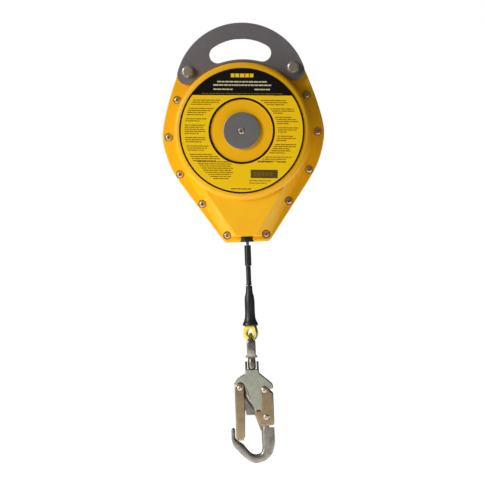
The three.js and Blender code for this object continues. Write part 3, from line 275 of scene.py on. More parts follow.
# %% [markdown]
# Three ways of making cover nearly every piece. A sheet piece is a flat outline made
# thick with rounded edges. A turned piece is a profile spun round its axis. A lofted
# piece is a skin over a row of sections, which is how forgings and rope are made here.

# %% Turning a list of points into a shape


def stood_up(name, data):
    piece = bpy.data.objects.new(name, data)
    bpy.context.scene.collection.objects.link(piece)
    return piece


def new_piece(name, points, faces):
    mesh = bpy.data.meshes.new(name)
    mesh.from_pydata(points, [], faces)
    piece = stood_up(name, mesh)
    tidy_mesh(piece)
    return piece


def tidy_mesh(piece):
    """Joins doubled points, drops empty faces and points every face outwards."""
    shape = bmesh.new()
    shape.from_mesh(piece.data)
    bmesh.ops.remove_doubles(shape, verts=shape.verts, dist=2e-7)
    bmesh.ops.dissolve_degenerate(shape, edges=shape.edges, dist=1e-7)
    bmesh.ops.recalc_face_normals(shape, faces=shape.faces)
    shape.to_mesh(piece.data)
    shape.free()


def made_solid(piece):
    """Replaces a piece by the mesh that it shows, with its modifiers applied."""
    bpy.context.view_layer.update()
    shown = piece.evaluated_get(bpy.context.evaluated_depsgraph_get())
    mesh = bpy.data.meshes.new_from_object(shown)
    if piece.type == "MESH":
        piece.modifiers.clear()
        piece.data = mesh
        return piece
    name = piece.name
    solid = stood_up(name + "_solid", mesh)
    bpy.data.objects.remove(piece)
    solid.name = name
    return solid


def combine(piece, other, how):
    """Adds another solid to a piece, or cuts it away, and removes the other."""
    step = piece.modifiers.new("combine", "BOOLEAN")
    step.operation = how
    step.solver = "EXACT"
    step.object = other
    made_solid(piece)
    bpy.data.objects.remove(other)
    return piece


# %% [markdown]
# Corners of an outline are rounded before it is used, since no pressed or forged part
# has a knife edge. Each corner is replaced by a short curve between its two sides.

# %% Outlines


def softened(points, radius, steps=4, closed=True):
    result = []
    count = len(points)
    for i, corner in enumerate(points):
        if not closed and i in (0, count - 1):
            result.append(tuple(corner))
            continue
        p = Vector(corner)
        before, after = Vector(points[i - 1]), Vector(points[(i + 1) % count])
        a = p + (before - p).normalized() * min(radius, (before - p).length * 0.48)
        b = p + (after - p).normalized() * min(radius, (after - p).length * 0.48)
        for k in range(steps + 1):
            t = k / steps
            result.append(tuple(a * (1 - t) ** 2 + p * 2 * t * (1 - t) + b * t * t))
    return result


def arc(x, z, radius, start, end, steps):
    turn = [math.radians(start + (end - start) * i / steps) for i in range(steps + 1)]
    return [(x + radius * math.cos(t), z + radius * math.sin(t)) for t in turn]


def circle(x, z, radius, steps=48):
    return arc(x, z, radius, 0, 360, steps)[:-1]


def smooth_line(points, steps, closed=False):
    """A centripetal Catmull-Rom curve through the points."""
    pts = [Vector(p) for p in points]
    if closed:
        pts = [pts[-1]] + pts + pts[:2]
    else:
        pts = [pts[0] * 2 - pts[1]] + pts + [pts[-1] * 2 - pts[-2]]
    result = []
    for a, b, c, d in zip(pts, pts[1:], pts[2:], pts[3:]):
        knots = [0.0]
        for p, q in ((a, b), (b, c), (c, d)):
            knots.append(knots[-1] + math.sqrt(max((q - p).length, 1e-9)))
        for k in range(steps):
            t = knots[1] + (knots[2] - knots[1]) * k / steps

            def mix(p, q, low, high):
                return p * ((high - t) / (high - low)) + q * ((t - low) / (high - low))

            first, second, third = (mix(p, q, knots[i], knots[i + 1])
                                    for i, (p, q) in enumerate(((a, b), (b, c), (c, d))))
            result.append(mix(mix(first, second, knots[0], knots[2]),
                              mix(second, third, knots[1], knots[3]), knots[1], knots[2]))
    if not closed:
        result.append(pts[-2])
    return result


# %% [markdown]
# A sheet is a Blender curve, filled, extruded and bevelled. A turned piece and a loft are
# joined from rings of points by hand. Every finished piece is then given its material,
# its body and the nodes it stands for by one function.

# %% The three ways of making


def sheet_piece(name, outline, front, back, edge=0.0, holes=(), steps=3):
    """A flat outline of (x, z) points, thick from y = front to y = back."""
    curve = bpy.data.curves.new(name, "CURVE")
    curve.dimensions = "2D"
    curve.fill_mode = "BOTH"
    curve.extrude = ((back - front) / 2 - edge) * MM
    curve.bevel_depth = edge * MM
    curve.bevel_resolution = steps
    curve.offset = -edge * MM
    for number, loop in enumerate((outline, *holes)):
        area = sum(a[0] * b[1] - b[0] * a[1] for a, b in zip(loop, loop[1:] + loop[:1]))
        clockwise = area < 0
        ordered = loop if clockwise == (number == 0) else loop[::-1]
        spline = curve.splines.new("POLY")
        spline.points.add(len(ordered) - 1)
        for point, (x, z) in zip(spline.points, ordered):
            point.co = (x * MM, z * MM, 0, 1)
        spline.use_cyclic_u = True
    piece = made_solid(stood_up(name, curve))
    piece.data.transform(Matrix.Translation(at(0, (front + back) / 2, 0)) @ UPRIGHT)
    tidy_mesh(piece)
    return piece


def turned_piece(name, profile, x=0, y=0, z=0, axis="Y", segments=64, ring=False):
    """A profile of (radius, height) spun round Y or Z; a ring's profile is closed."""
    points = []
    for i in range(segments):
        turn = 2 * math.pi * i / segments
        c, s = math.cos(turn), math.sin(turn)
        for radius, height in profile:
            place = (radius * c, height, radius * s) if axis == "Y" else (radius * c, radius * s, height)
            points.append(at(x + place[0], y + place[1], z + place[2]))
    count = len(profile)
    faces = []
    for i in range(segments):
        for k in range(count if ring else count - 1):
            a, b = i * count + k, i * count + (k + 1) % count
            c, d = ((i + 1) % segments) * count + (k + 1) % count, ((i + 1) % segments) * count + k
            faces.append((a, b, c, d))
    return new_piece(name, points, faces)


def rod_piece(radius, y0, y1, x=0, z=0, segments=32):
    """A plain cylinder along Y, for boring holes."""
    profile = [(0, y0), (radius, y0), (radius, y1), (0, y1)]
    return turned_piece("rod", profile, x=x, z=z, segments=segments)


def lofted_piece(name, sections, looped=False):
    """A skin over sections, each a list of points; open ends are closed flat."""
    count = len(sections[0])
    points = [p for section in sections for p in section]
    faces = []
    for i in range(len(sections) if looped else len(sections) - 1):
        j = (i + 1) % len(sections)
        for k in range(count):
            m = (k + 1) % count
            faces.append((i * count + k, i * count + m, j * count + m, j * count + k))
    if not looped:
        faces.append(tuple(range(count)))
        faces.append(tuple(range((len(sections) - 1) * count, len(sections) * count)))
    return new_piece(name, points, faces)


def place_piece(piece, material, body, slot, *nodes, crease=35, flat_faces=True):
    """Gives a piece its finish and body, and hides the plain solids it stands for."""
    piece.data.materials.clear()
    piece.data.materials.append(material)
    piece.data.shade_smooth()
    piece.data.set_sharp_from_angle(angle=math.radians(crease))
    if flat_faces:
        level = piece.modifiers.new("level", "WEIGHTED_NORMAL")
        level.keep_sharp = True
        made_solid(piece)
    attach(piece, body)
    if nodes:
        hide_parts(*nodes)
    print(piece.name, len(piece.data.polygons), "faces")
    return piece


# %% [markdown]
# A pale paper floor lies under the hanging block. It is small, so that it throws little
# light up at the front, and it fades into the pale air from every side.

# %% Floor
FLOOR_HALF = 0.9
FLOOR_Z = -0.70
floor = new_piece(
    "paper_floor",
    [Vector((x, y, FLOOR_Z)) for x, y in (
        (-FLOOR_HALF, -FLOOR_HALF), (FLOOR_HALF, -FLOOR_HALF),
        (FLOOR_HALF, FLOOR_HALF), (-FLOOR_HALF, FLOOR_HALF))],
    [(0, 1, 2, 3)],
)
floor.data.materials.append(studio_paper)
print(floor.name, 2 * FLOOR_HALF, "m wide")

# %% [markdown]
# ## Wire rope
# The rope is six strands laid round a core, 4.8 mm across. It comes straight down,
# runs through the crimp, round the thimble and back. Its section is a ring with six
# soft lobes that turns once every 32 mm, which reads as strands and stays one skin.

# %% Rope
THIMBLE_TURN = math.radians(-35)
THIMBLE_Z = -302.1
THIMBLE_HOLE = 6.4
ROPE_RADIUS = 2.4
LOOP_RADIUS = THIMBLE_HOLE + 0.9 + 0.3 + ROPE_RADIUS
STRANDS = 6
LAY_LENGTH = 32


def in_loop(u, v, z):
    """A point of the thimble's plane, which is turned about the rope; v is across it."""
    c, s = math.cos(THIMBLE_TURN), math.sin(THIMBLE_TURN)
    return at(u * c - v * s, u * s + v * c, z)


loop_half = [(-4.9, 19 + THIMBLE_Z), (-8.1, 10 + THIMBLE_Z), (-LOOP_RADIUS, 1 + THIMBLE_Z),
             (-LOOP_RADIUS * 0.75, THIMBLE_Z - LOOP_RADIUS * 0.66)]
rope_route = (
    [(0, z) for z in (-88, -120, -150, -180, -205, -225, -237)]
    + [(-2.75, z) for z in (-249, -257, -266, -274)]
    + loop_half + [(0, THIMBLE_Z - LOOP_RADIUS)] + [(-u, z) for u, z in reversed(loop_half)]
    + [(2.75, z) for z in (-274, -266, -257, -251)]
)
rope_line = smooth_line([in_loop(u, 0, z) for u, z in rope_route], 8)
across = in_loop(0, 1, 0) - in_loop(0, 0, 0)
across.normalize()
travel = 0.0
rope_sections = []
for i, p in enumerate(rope_line):
    before, after = rope_line[max(i - 1, 0)], rope_line[min(i + 1, len(rope_line) - 1)]
    if i:
        travel += (p - rope_line[i - 1]).length
    along = (after - before).normalized()
    side = along.cross(across).normalized()
    twist = travel / (LAY_LENGTH * MM) * 2 * math.pi
    ring = []
    for k in range(STRANDS * 6):
        turn = 2 * math.pi * k / (STRANDS * 6)
        lobe = abs(math.cos(STRANDS * turn / 2)) ** 0.6
        radius = ROPE_RADIUS * (0.86 + 0.14 * lobe) * MM
        ring.append(p + side * radius * math.cos(turn + twist) + across * radius * math.sin(turn + twist))
    rope_sections.append(ring)
rope = lofted_piece("wire_rope_strands", rope_sections)
place_piece(rope, wire_steel, "line", "rope_wire", "wire_rope", crease=60, flat_faces=False)
print("rope length", round(travel, 4), "m")

# %% [markdown]
# ## Thimble
# A thimble keeps the loop's bend open where the eye bears on it. This one is moulded:
# a teardrop ring with a groove outside for the rope and flared edges inside.

# %% Thimble


def teardrop(radius, neck_half, neck_z):
    """Half of a teardrop outline, bottom to neck, then its mirror image."""
    right = arc(0, THIMBLE_Z, radius, -90, 12, 24)
    line = [(right[-1][0] + (neck_half - right[-1][0]) * k / 12,
             right[-1][1] + (neck_z - right[-1][1]) * k / 12) for k in range(1, 13)]
    right = right + line
    return right + [(-x, z) for x, z in reversed(right[1:])]


inner_tear = teardrop(THIMBLE_HOLE, 2.3, THIMBLE_Z + THIMBLE_HOLE)
outer_tear = teardrop(THIMBLE_HOLE + 5.6, 6.2, THIMBLE_Z + 21)
HALF = 3.2
groove = [(0.44, 2.45), (0.30, 2.2), (0.17, 1.4), (0.13, 0)]
thimble_side = [(0.0, 0), (0.0, 1.5), (0.04, 2.3), (0.14, 3.0), (0.24, HALF),
                (0.9, HALF), (0.99, 3.0), (0.99, 2.8), (0.8, 2.6)] + groove
thimble_section = thimble_side + [(k, -v) for k, v in reversed(thimble_side[1:-1])]
thimble_rings = [
    [in_loop(a[0] + (b[0] - a[0]) * k, v, a[1] + (b[1] - a[1]) * k) for k, v in thimble_section]
    for a, b in zip(inner_tear, outer_tear)
]
thimble = lofted_piece("grooved_thimble", thimble_rings, looped=True)
place_piece(thimble, lemon_moulding, "line", "lemon_plastic", "loop_thimble", crease=50,
            flat_faces=False)

# %% [markdown]
# ## Bumper, sleeve and boot
# A rubber bumper stops the hook against the nozzle. Below it a shrunk sleeve covers
# the rope, and a wider shrunk boot covers the crimp and flares over the thimble. Heat
# shrink never lies quite even, so a little waviness is added to their skins.

# %% Rubber parts on the rope


def waved(piece, amount, scale, seed):
    """Moves each point in or out a little, evenly over the skin."""
    rng = random.Random(seed)
    shift = Vector((rng.random(), rng.random(), rng.random())) * 10
    for vertex in piece.data.vertices:
        wave = noise.noise((vertex.co + shift) * (1000 / scale))
        vertex.co += Vector((vertex.normal.x, vertex.normal.y, 0)) * wave * amount * MM
    return piece


bumper_profile = softened([(2.7, -170), (4.9, -170), (4.9, -201), (2.7, -201)], 0.9)
bumper = turned_piece("rope_bumper", bumper_profile, axis="Z", segments=40, ring=True)
place_piece(bumper, sleeve_rubber, "line", "black_rubber", "line_bumper")

sleeve_outline = [(2.7, -201.3), (3.7, -201.3)]
sleeve_outline += [(3.7, -201.3 - k * 1.6) for k in range(1, 16)]
sleeve_outline += [(4.2, -229.6), (4.2, -230.0), (2.7, -230.0)]
sleeve = turned_piece("shrunk_sleeve", sleeve_outline, axis="Z", segments=40, ring=True)
waved(sleeve, 0.22, 6, 3)
place_piece(sleeve, sleeve_rubber, "line", "black_rubber", "rope_sleeve")

boot_key = [(4.7, -231), (4.9, -236), (5.4, -241), (7.0, -248), (7.4, -256), (7.4, -266),
            (7.5, -273), (8.2, -279), (9.6, -284), (11.2, -287.5), (11.6, -290)]
boot_skin = [(p.x, p.y) for p in smooth_line([Vector((r, z, 0)) for r, z in boot_key], 4)]
boot_outline = boot_skin + [(11.5, -290.8), (10.9, -291)]
boot_outline += [(r - 0.9, z) for r, z in reversed(boot_skin[:-1])]
boot = turned_piece("shrunk_boot", boot_outline, axis="Z", segments=48, ring=True)
waved(boot, 0.3, 9, 5)
place_piece(boot, sleeve_rubber, "line", "black_rubber", "loop_boot")

# %% [markdown]
# About 0.32 m of the rope is outside the drum. The crimped fitting at its end carries the eye.

# %% [markdown]
# ## Casing covers
# Each cover is pressed from sheet: a flat flange, a round dome for the drum and a chin
# that tapers to the nozzle. The skin is a grid in rings round the axle. Its depth is
# the greatest of flange, dome and chin, blended so that each corner has a soft radius
# as a pressing has. A solid of the inside is cut away and leaves the wall.

# %% Outline of the flange
FLANGE_FRONT = 8.0
COVER_BACK = 1.1
DOME_DEPTH = 46.0
DOME_RIM = 102.5
DOME_BASE = 104.0
DOME_FILLET = 8.0
CHIN_DEPTH = 38.0
CHIN_END_DEPTH = 27.0
CHIN_END = 157.0
CHIN_TOP = 49.5
FLANGE_BOTTOM = 165.0
SCREWS = [(97, 52.3), (112, -3.3), (97, -59.6), (65, -105.4), (29.3, -154)]
BOLTS = [(79, 93.5), (-79, 93.5)]

side_line = [p.to_2d() for p in smooth_line([Vector((x, z, 0)) for x, z in (
    (97, -73), (107.5, -55), (114.5, -38), (119.5, -19), (121.5, -3), (120, 12),
    (116, 30), (109.6, 52), (102, 74), (95.6, 90.5))], 5)]
right_outline = (
    [(0, -FLANGE_BOTTOM), (25, -FLANGE_BOTTOM)] + arc(28.6, -156.2, 8.8, -90, -36, 6)
    + [tuple(p) for p in side_line] + arc(79, 93.5, 15.5, 6, 128, 14)
    + arc(0, 0, 107.3, 58, 90, 14)
)
flange_outline = right_outline + [(-x, z) for x, z in reversed(right_outline[1:-1])]
print("flange outline", len(flange_outline), "points")


def reach(turn):
    """Distance from the axle to the flange's outline in one direction."""
    dx, dz = math.cos(turn), math.sin(turn)
    best = 0.0
    for (ax, az), (bx, bz) in zip(flange_outline, flange_outline[1:] + flange_outline[:1]):
        ex, ez = bx - ax, bz - az
        cross = dx * ez - dz * ex
        if abs(cross) < 1e-12:
            continue
        distance = (ax * ez - az * ex) / cross
        share = (ax * dz - az * dx) / cross
        if distance > 0 and -1e-9 <= share <= 1 + 1e-9:
            best = max(best, distance)
    return best


# %% [markdown]
# The cover's shape is one height field over its outline: the depth of the dome and of the
# chin at each place, with a soft blend where they meet, as pressed sheet has.

# %% Depth of the cover's skin


def soft_max(a, b, radius):
    """The greater of two depths, with a blend that many millimetres wide."""
    gap = max(radius - abs(a - b), 0) / radius
    return max(a, b) + gap * gap * radius / 4


def dome_depth(radius):
    centre = DOME_RIM - DOME_FILLET
    if radius <= centre:
        return DOME_DEPTH
    if radius <= DOME_RIM:
        reach_in = (radius - centre) / DOME_FILLET
        return DOME_DEPTH - DOME_FILLET + DOME_FILLET * math.sqrt(max(0, 1 - reach_in ** 2))
    share = (radius - DOME_RIM) / (DOME_BASE - DOME_RIM)
    return DOME_DEPTH - DOME_FILLET - share * (DOME_DEPTH - DOME_FILLET - FLANGE_FRONT)


def chin_depth(x, z):
    """The chin's face slopes back towards the nozzle and its flanks slope out."""
    share = (-z - CHIN_TOP) / (CHIN_END - CHIN_TOP)
    if share < 0:
        return 0.0
    share = min(share, 1)
    drop = min(max((-z - 94.5) / (CHIN_END - 94.5), 0), 1)
    face = CHIN_DEPTH + (CHIN_END_DEPTH - CHIN_DEPTH) * drop
    face_half = 80.7 + (15 - 80.7) * share
    base_half = 91.6 + (33 - 91.6) * share
    out = (abs(x) - face_half) / (base_half - face_half)
    if out <= 0:
        return face
    return face - out * (face - FLANGE_FRONT)


def cover_depth(x, z, share):
    """share runs from 0 at the dome's foot to 1 at the flange's edge."""
    radius = math.hypot(x, z)
    depth = soft_max(dome_depth(radius), FLANGE_FRONT, 3)
    chin = chin_depth(x, z)
    if share > 0:
        end = min(max((0.888 - share) / 0.022, 0), 1)
        chin = FLANGE_FRONT + (chin - FLANGE_FRONT) * end if chin > FLANGE_FRONT else chin
    return soft_max(depth, chin, 5) if chin > 0 else depth


# %% [markdown]
# The skin is lofted from spokes round the axle. Rings lie closer together where the
# metal bends, at the dome's edge and at the end of the chin.

# %% Skin of the cover
SPOKES = 540
EDGE = 1.4
rings = [20, 45, 70, 88, 93]
rings += [94.5 + DOME_FILLET * math.sin(math.pi / 2 * k / 8) for k in range(9)]
rings += [DOME_RIM + (DOME_BASE - DOME_RIM) * k / 8 for k in range(1, 9)]
shares = [k / 56 for k in range(1, 48)] + [0.848, 0.857, 0.864, 0.868, 0.873, 0.878,
                                            0.883, 0.888, 0.892, 0.9, 0.92, 0.95, 0.975]


def cover_skin(name):
    grid = []
    for i in range(SPOKES):
        turn = 2 * math.pi * (i + 0.5) / SPOKES
        c, s = math.cos(turn), math.sin(turn)
        edge_reach = reach(turn)
        low = s < -0.05
        column = [(0, 0, DOME_DEPTH)]
        for r in rings:
            column.append((r * c, r * s, cover_depth(r * c, r * s, 0)))
        for share in shares:
            r = DOME_BASE + (edge_reach - EDGE - DOME_BASE) * share
            column.append((r * c, r * s, cover_depth(r * c, r * s, share if low else 0)))
        for k in range(5):
            bend = math.pi / 2 * k / 4
            r = edge_reach - EDGE + EDGE * math.sin(bend)
            column.append((r * c, r * s, FLANGE_FRONT - EDGE + EDGE * math.cos(bend)))
        column.append((edge_reach * c, edge_reach * s, COVER_BACK))
        column.append((0, 0, COVER_BACK))
        grid.append([at(x, -depth, z) for x, z, depth in column])
    return lofted_piece(name, grid, looped=True)


# %% [markdown]
# The covers are hollow. The room inside is a solid of its own, cut out of the skin, and
# the nozzle's seat and the screws' scallops are cut after it.

# %% Solid of the inside


def hull_piece(name, points):
    shape = bmesh.new()
    for p in points:
        shape.verts.new(at(*p))
    result = bmesh.ops.convex_hull(shape, input=shape.verts)
    bmesh.ops.delete(shape, geom=[v for v in result["geom_interior"] if isinstance(v, bmesh.types.BMVert)],
                     context="VERTS")
    mesh = bpy.data.meshes.new(name)
    shape.to_mesh(mesh)
    shape.free()
    return stood_up(name, mesh)


WALL = 3.5


def inside_of_cover():
    profile = [(0, 5), (DOME_BASE - WALL, 5), (DOME_BASE - WALL, -FLANGE_FRONT)]
    profile += [(r, -d) for r, d in arc(94.5, 38, 4.5, 0, 90, 6)]
    profile += [(0, -(DOME_DEPTH - WALL))]
    dome = turned_piece("inside_dome", profile, segments=96)
    points = []
    for x, z in arc(0, 0, DOME_BASE - WALL, 208, 332, 12):
        points += [(x, 5, z), (x, -FLANGE_FRONT, z)]
    for x, z in arc(0, 0, 90, 208, 332, 12):
        points.append((x, -(CHIN_DEPTH - WALL), z))
    for side in (-1, 1):
        points += [(side * 17, 5, -150), (side * 17, -FLANGE_FRONT, -150), (side * 11, -23, -150)]
    return combine(dome, hull_piece("inside_chin", points), "UNION")


def made_cover(name, recess):
    cover = cover_skin(name)
    combine(cover, inside_of_cover(), "DIFFERENCE")
    nozzle_seat = turned_piece("nozzle_seat", [(0, -175), (12.8, -175), (12.8, -156.7), (9.3, -156.7),
                                               (9.3, -140), (0, -140)], axis="Z", segments=48)
    combine(cover, nozzle_seat, "DIFFERENCE")
    for x, z in SCREWS:
        for side in (-1, 1):
            if recess:
                cutter = turned_piece("scallop", [(0, -60), (6.4, -60), (6.4, -FLANGE_FRONT + 1.7),
                                                  (6.1, -FLANGE_FRONT + 1.4), (0, -FLANGE_FRONT + 1.4)],
                                      x=side * x, z=z, segments=32)
                combine(cover, cutter, "DIFFERENCE")
    return cover


front = made_cover("front_cover_pressing", True)
place_piece(front, powder_coat, "casing", "yellow_paint", "front_cover", crease=38)
rear = made_cover("rear_cover_pressing", False)
rear.data.transform(TO_REAR)
rear.data.flip_normals()
place_piece(rear, powder_coat, "casing", "yellow_paint", "rear_cover", crease=38)

# %% [markdown]
# A rubber gasket shows as a thin dark line between the two flanges.

# %% Gasket
gasket_outline = [(x * 0.996, z * 0.996) for x, z in flange_outline]
gasket = sheet_piece("flange_gasket", gasket_outline, -0.8, 0.8, 0.3,
                     holes=(circle(0, 0, 100.2, 96),), steps=1)
place_piece(gasket, sleeve_rubber, "casing", "black_rubber", "cover_gasket")

# %% [markdown]
# ## Handle plate and its bolts
# The handle plate is laser cut sheet, 6 mm thick, with a curved slot for a hand or a
# carabiner. Two bolts with washers clamp it between their heads and the casing's ears.

# %% Handle plate
PLATE_FRONT = -14.3
PLATE_BACK = -8.3
ARC_CENTRE = 64.5


def band(inner, outer, end_angle, flat_half=0):
    """A curved band: inner arc about the axle, outer arc about a higher centre."""
    cosine = math.cos(math.radians(end_angle))
    across = outer ** 2 - inner ** 2 - ARC_CENTRE ** 2 + 2 * ARC_CENTRE * inner * cosine
    end = across / (2 * (inner + outer - ARC_CENTRE * cosine))
    end_x = (inner + end) * math.sin(math.radians(end_angle))
    end_z = (inner + end) * cosine
    outer_start = math.degrees(math.atan2(end_z - ARC_CENTRE, end_x))
    inner_start = math.degrees(math.atan2(end_z, end_x))
    top = 90 - math.degrees(math.asin(flat_half / outer))
    return (
        arc(0, ARC_CENTRE, outer, outer_start, top, 40)
        + arc(0, ARC_CENTRE, outer, 180 - top, 180 - outer_start, 40)[0 if flat_half else 1:]
        + arc(-end_x, end_z, end, 180 - outer_start, 360 - inner_start, 16)[1:]
        + arc(0, 0, inner, 180 - inner_start, inner_start, 48)[1:]
        + arc(end_x, end_z, end, 180 + inner_start, 360 + outer_start, 16)[1:-1]
    )


plate = sheet_piece(
    "laser_cut_handle_plate", band(105.3, 99.5, 42.3), PLATE_FRONT, PLATE_BACK, 0.7,
    holes=[band(109, 75.5, 15.9, 7)] + [circle(x, z, 5, 24) for x, z in BOLTS])
place_piece(plate, brushed_sheet, "casing", "brushed_plate", "handle_plate")

# %% [markdown]
# A bolt's hexagon is turned before it is cut, so its corners end in a cone: the top
# edge dips at each corner. The height below follows that cone round the hexagon.

# %% Hexagon heads
HEX_STEPS = 72


def hex_head(name, flats, base, top, x, z):
    """A chamfered hexagon from y = base out to y = top, which has the smaller y."""
    columns = []
    for i in range(HEX_STEPS):
        turn = 2 * math.pi * i / HEX_STEPS
        lean = (turn + math.pi / 6) % (math.pi / 3) - math.pi / 6
        corner = flats / 2 / math.cos(lean)
        flat_radius = flats / 2 * 0.95
        dip = (corner - flat_radius) * math.tan(math.radians(30))
        c, s = math.cos(turn), math.sin(turn)
        columns.append([at(x + r * c, y, z + r * s) for r, y in (
            (0, base), (corner - 0.2, base), (corner, base - 0.2), (corner, top + dip),
            (flat_radius, top), (flat_radius - 0.8, top), (0, top))])
    return lofted_piece(name, columns, looped=True)


def bolt_with_washer(side, x, z):
    washer = softened([(4.6, PLATE_FRONT - 0.3), (9.2, PLATE_FRONT - 0.3),
                       (9.2, PLATE_FRONT - 1.8), (4.6, PLATE_FRONT - 1.8)], 0.4)
    bolt = turned_piece(f"handle_bolt_{side}_fitted", washer, x=x, z=z, segments=56, ring=True)
    head = hex_head("head", 14.3, PLATE_FRONT - 1.9, PLATE_FRONT - 7.4, x, z)
    shank = turned_piece("shank", softened(
        [(0, -16.5), (4.65, -16.5), (4.65, 15.6), (4.0, 17.5), (0, 17.5)], 0.3, closed=False),
        x=x, z=z, segments=32)
    combine(bolt, head, "UNION")
    combine(bolt, shank, "UNION")
    place_piece(bolt, bright_zinc, "casing", "zinc_steel", f"handle_bolt_{side}")
    nut_washer = softened([(5, 8.3), (9.2, 8.3), (9.2, 9.8), (5, 9.8)], 0.4)
    nut = turned_piece(f"handle_nut_{side}_fitted", nut_washer, x=x, z=z, segments=56, ring=True)
    body = hex_head("nut", 14.3, -9.9, -16.3, x, z)
    body.data.transform(TO_REAR)
    bore = rod_piece(5, 7, 18, x, z)
    tidy_mesh(body)
    combine(body, bore, "DIFFERENCE")
    combine(nut, body, "UNION")
    place_piece(nut, bright_zinc, "casing", "zinc_steel", f"handle_nut_{side}")


bolt_with_washer("right", *BOLTS[0])
bolt_with_washer("left", *BOLTS[1])

# %% [markdown]
# ## Cover screws
# Ten socket screws with domed heads hold the two covers together. One is made, with
# its hexagon socket cut in, and copied for all ten, each turned a little further.

# %% Cover screws
SCREW_SEAT = -FLANGE_FRONT + 1.4 - 0.3


def socket_screw(name, head_profile, flats, depth, top):
    screw = turned_piece(name, head_profile, segments=40)
    socket = hex_head("socket", flats, top + depth, top - 3, 0, 0)
    return combine(screw, socket, "DIFFERENCE")


screw_profile = [(0, 6), (2.4, 6), (3, 5.4), (3, SCREW_SEAT)] + softened(
    [(3.2, SCREW_SEAT), (5.2, SCREW_SEAT), (5.1, SCREW_SEAT - 1.4), (4.0, SCREW_SEAT - 2.8),
     (2.8, SCREW_SEAT - 3.2)], 0.8, closed=False) + [(0, SCREW_SEAT - 3.2)]
pattern = socket_screw("cover_screw_pattern", screw_profile, 4.0, 1.8, SCREW_SEAT - 3.2)
for number, (x, z) in enumerate(SCREWS + [(-x, z) for x, z in SCREWS], 1):
    mesh = pattern.data.copy()
    turn = Matrix.Rotation(math.radians(37 * number), 4, "Y")
    centre = at(0, 0, 0)
    mesh.transform(Matrix.Translation(at(x, 0, z)) @ turn @ Matrix.Translation(-centre))
    screw = stood_up(f"socket_screw_{number}", mesh)
    place_piece(screw, bright_zinc, "casing", "zinc_steel", f"cover_screw_{number}")
bpy.data.objects.remove(pattern)

# %% [markdown]
# ## Label
# The label is a printed film disc. Its print is laid on as thin sheets of ink, so that
# it keeps its sharp edges from near: a dark rim, a black ring round the hub, a black
# header, and rows of plain bars where a maker would print words. It is stuck on a
# little turned against the casing.

# %% Label film and rings
LABEL_FACE = -47.1
INK = 0.06
LABEL_TURN = math.radians(-2.7)


def turned_on_label(points):
    c, s = math.cos(LABEL_TURN), math.sin(LABEL_TURN)
    return [(x * c - z * s, x * s + z * c) for x, z in points]


film = turned_piece("label_film", softened(
    [(46, -46.3), (93.5, -46.3), (93.5, LABEL_FACE), (46, LABEL_FACE)], 0.15),
    segments=160, ring=True)
place_piece(film, label_yellow, "casing", "label_film", "label_plate")


def ink_sheet(name, outline, material, holes=(), layer=1):
    back = LABEL_FACE - INK * (layer - 1)
    sheet = sheet_piece(name, outline, back - INK, back, holes=holes, steps=0)
    return place_piece(sheet, material, "casing", "label_film")


ink_sheet("label_rim_ring", circle(0, 0, 93.2, 160), label_black, holes=[circle(0, 0, 90.6, 160)])
ink_sheet("label_hub_ring", circle(0, 0, 49.4, 120), label_black, holes=[circle(0, 0, 46.2, 120)])
HEADER_Z = 52.5
HEADER_RADIUS = 90.7
header_angle = math.degrees(math.asin(HEADER_Z / HEADER_RADIUS))
header_arc = arc(0, 0, HEADER_RADIUS, header_angle, 180 - header_angle, 60)
ink_sheet("label_header", turned_on_label(header_arc), label_black)

# %% [markdown]
# Words are left out. Bars of uneven length, ruled in rows, give the grey value of
# small print without saying anything. The lengths come from a seeded random source.

# %% Label bars
rng = random.Random(11)


def bar_rows(name, rows, material, layer, bar, space):
    """rows are (first x, last x, z, height); each is filled with bars of many lengths."""
    curve = bpy.data.curves.new(name, "CURVE")
    curve.dimensions = "2D"
    curve.fill_mode = "BOTH"
    curve.extrude = INK / 2 * MM
    for start, stop, z, height in rows:
        x = start
        while x < stop - bar[0]:
            end = min(x + rng.uniform(*bar), stop)
            spline = curve.splines.new("POLY")
            spline.points.add(3)
            corners = [(x, z), (end, z), (end, z + height), (x, z + height)]
            for point, (px, pz) in zip(spline.points, turned_on_label(corners)):
                point.co = (px * MM, pz * MM, 0, 1)
            spline.use_cyclic_u = True
            x = end + space
    bars = made_solid(stood_up(name, curve))
    middle = LABEL_FACE - INK * (layer - 0.5)
    bars.data.transform(Matrix.Translation(at(0, middle, 0)) @ UPRIGHT)
    tidy_mesh(bars)
    return place_piece(bars, material, "casing", "label_film")


bar_rows("label_title_bars", [(-17, 17, 79.2, 5.6)], label_yellow, 2, (4, 7), 1.2)
bar_rows("label_header_bars", [(-37, 37, 71.6, 2.0), (-43, 43, 66.6, 2.0), (-43, -14, 60.4, 1.8),
                               (18, 44, 60.4, 1.8)], label_pale, 2, (3, 8), 0.8)
bar_rows("label_header_line", [(-60, 60, 54.4, 1.2)], label_ochre, 2, (3, 9), 0.8)
LINE_STEP = 3.1
LINE_HEIGHT = 1.3
columns = []
for side in (-1, 1):
    z, left_in_group = 47.5, 3
    while z > -44:
        z -= LINE_STEP
        left_in_group -= 1
        if left_in_group < 0:
            left_in_group = rng.randrange(2, 6)
            continue
        outside = math.sqrt(87 ** 2 - z * z) - 2
        inside = math.sqrt(max(51.5 ** 2 - z * z, 0)) + 2
        ragged = rng.uniform(0, 9) if left_in_group else rng.uniform(12, 20)
        if side < 0:
            columns.append((-outside, -inside - ragged * 0.6, z, LINE_HEIGHT))
        else:
            columns.append((inside, outside - ragged, z, LINE_HEIGHT))
for k in range(9):
    z = -47 - k * LINE_STEP
    columns.append((6 - math.sqrt(86 ** 2 - z * z), -12 - rng.uniform(0, 6), z, LINE_HEIGHT))
columns += [(24, 66, -46.6, 1.8), (12, 44, -74.5, 1.2), (12, 38, -78.0, 1.2), (-15, 15, -87, 1.6)]
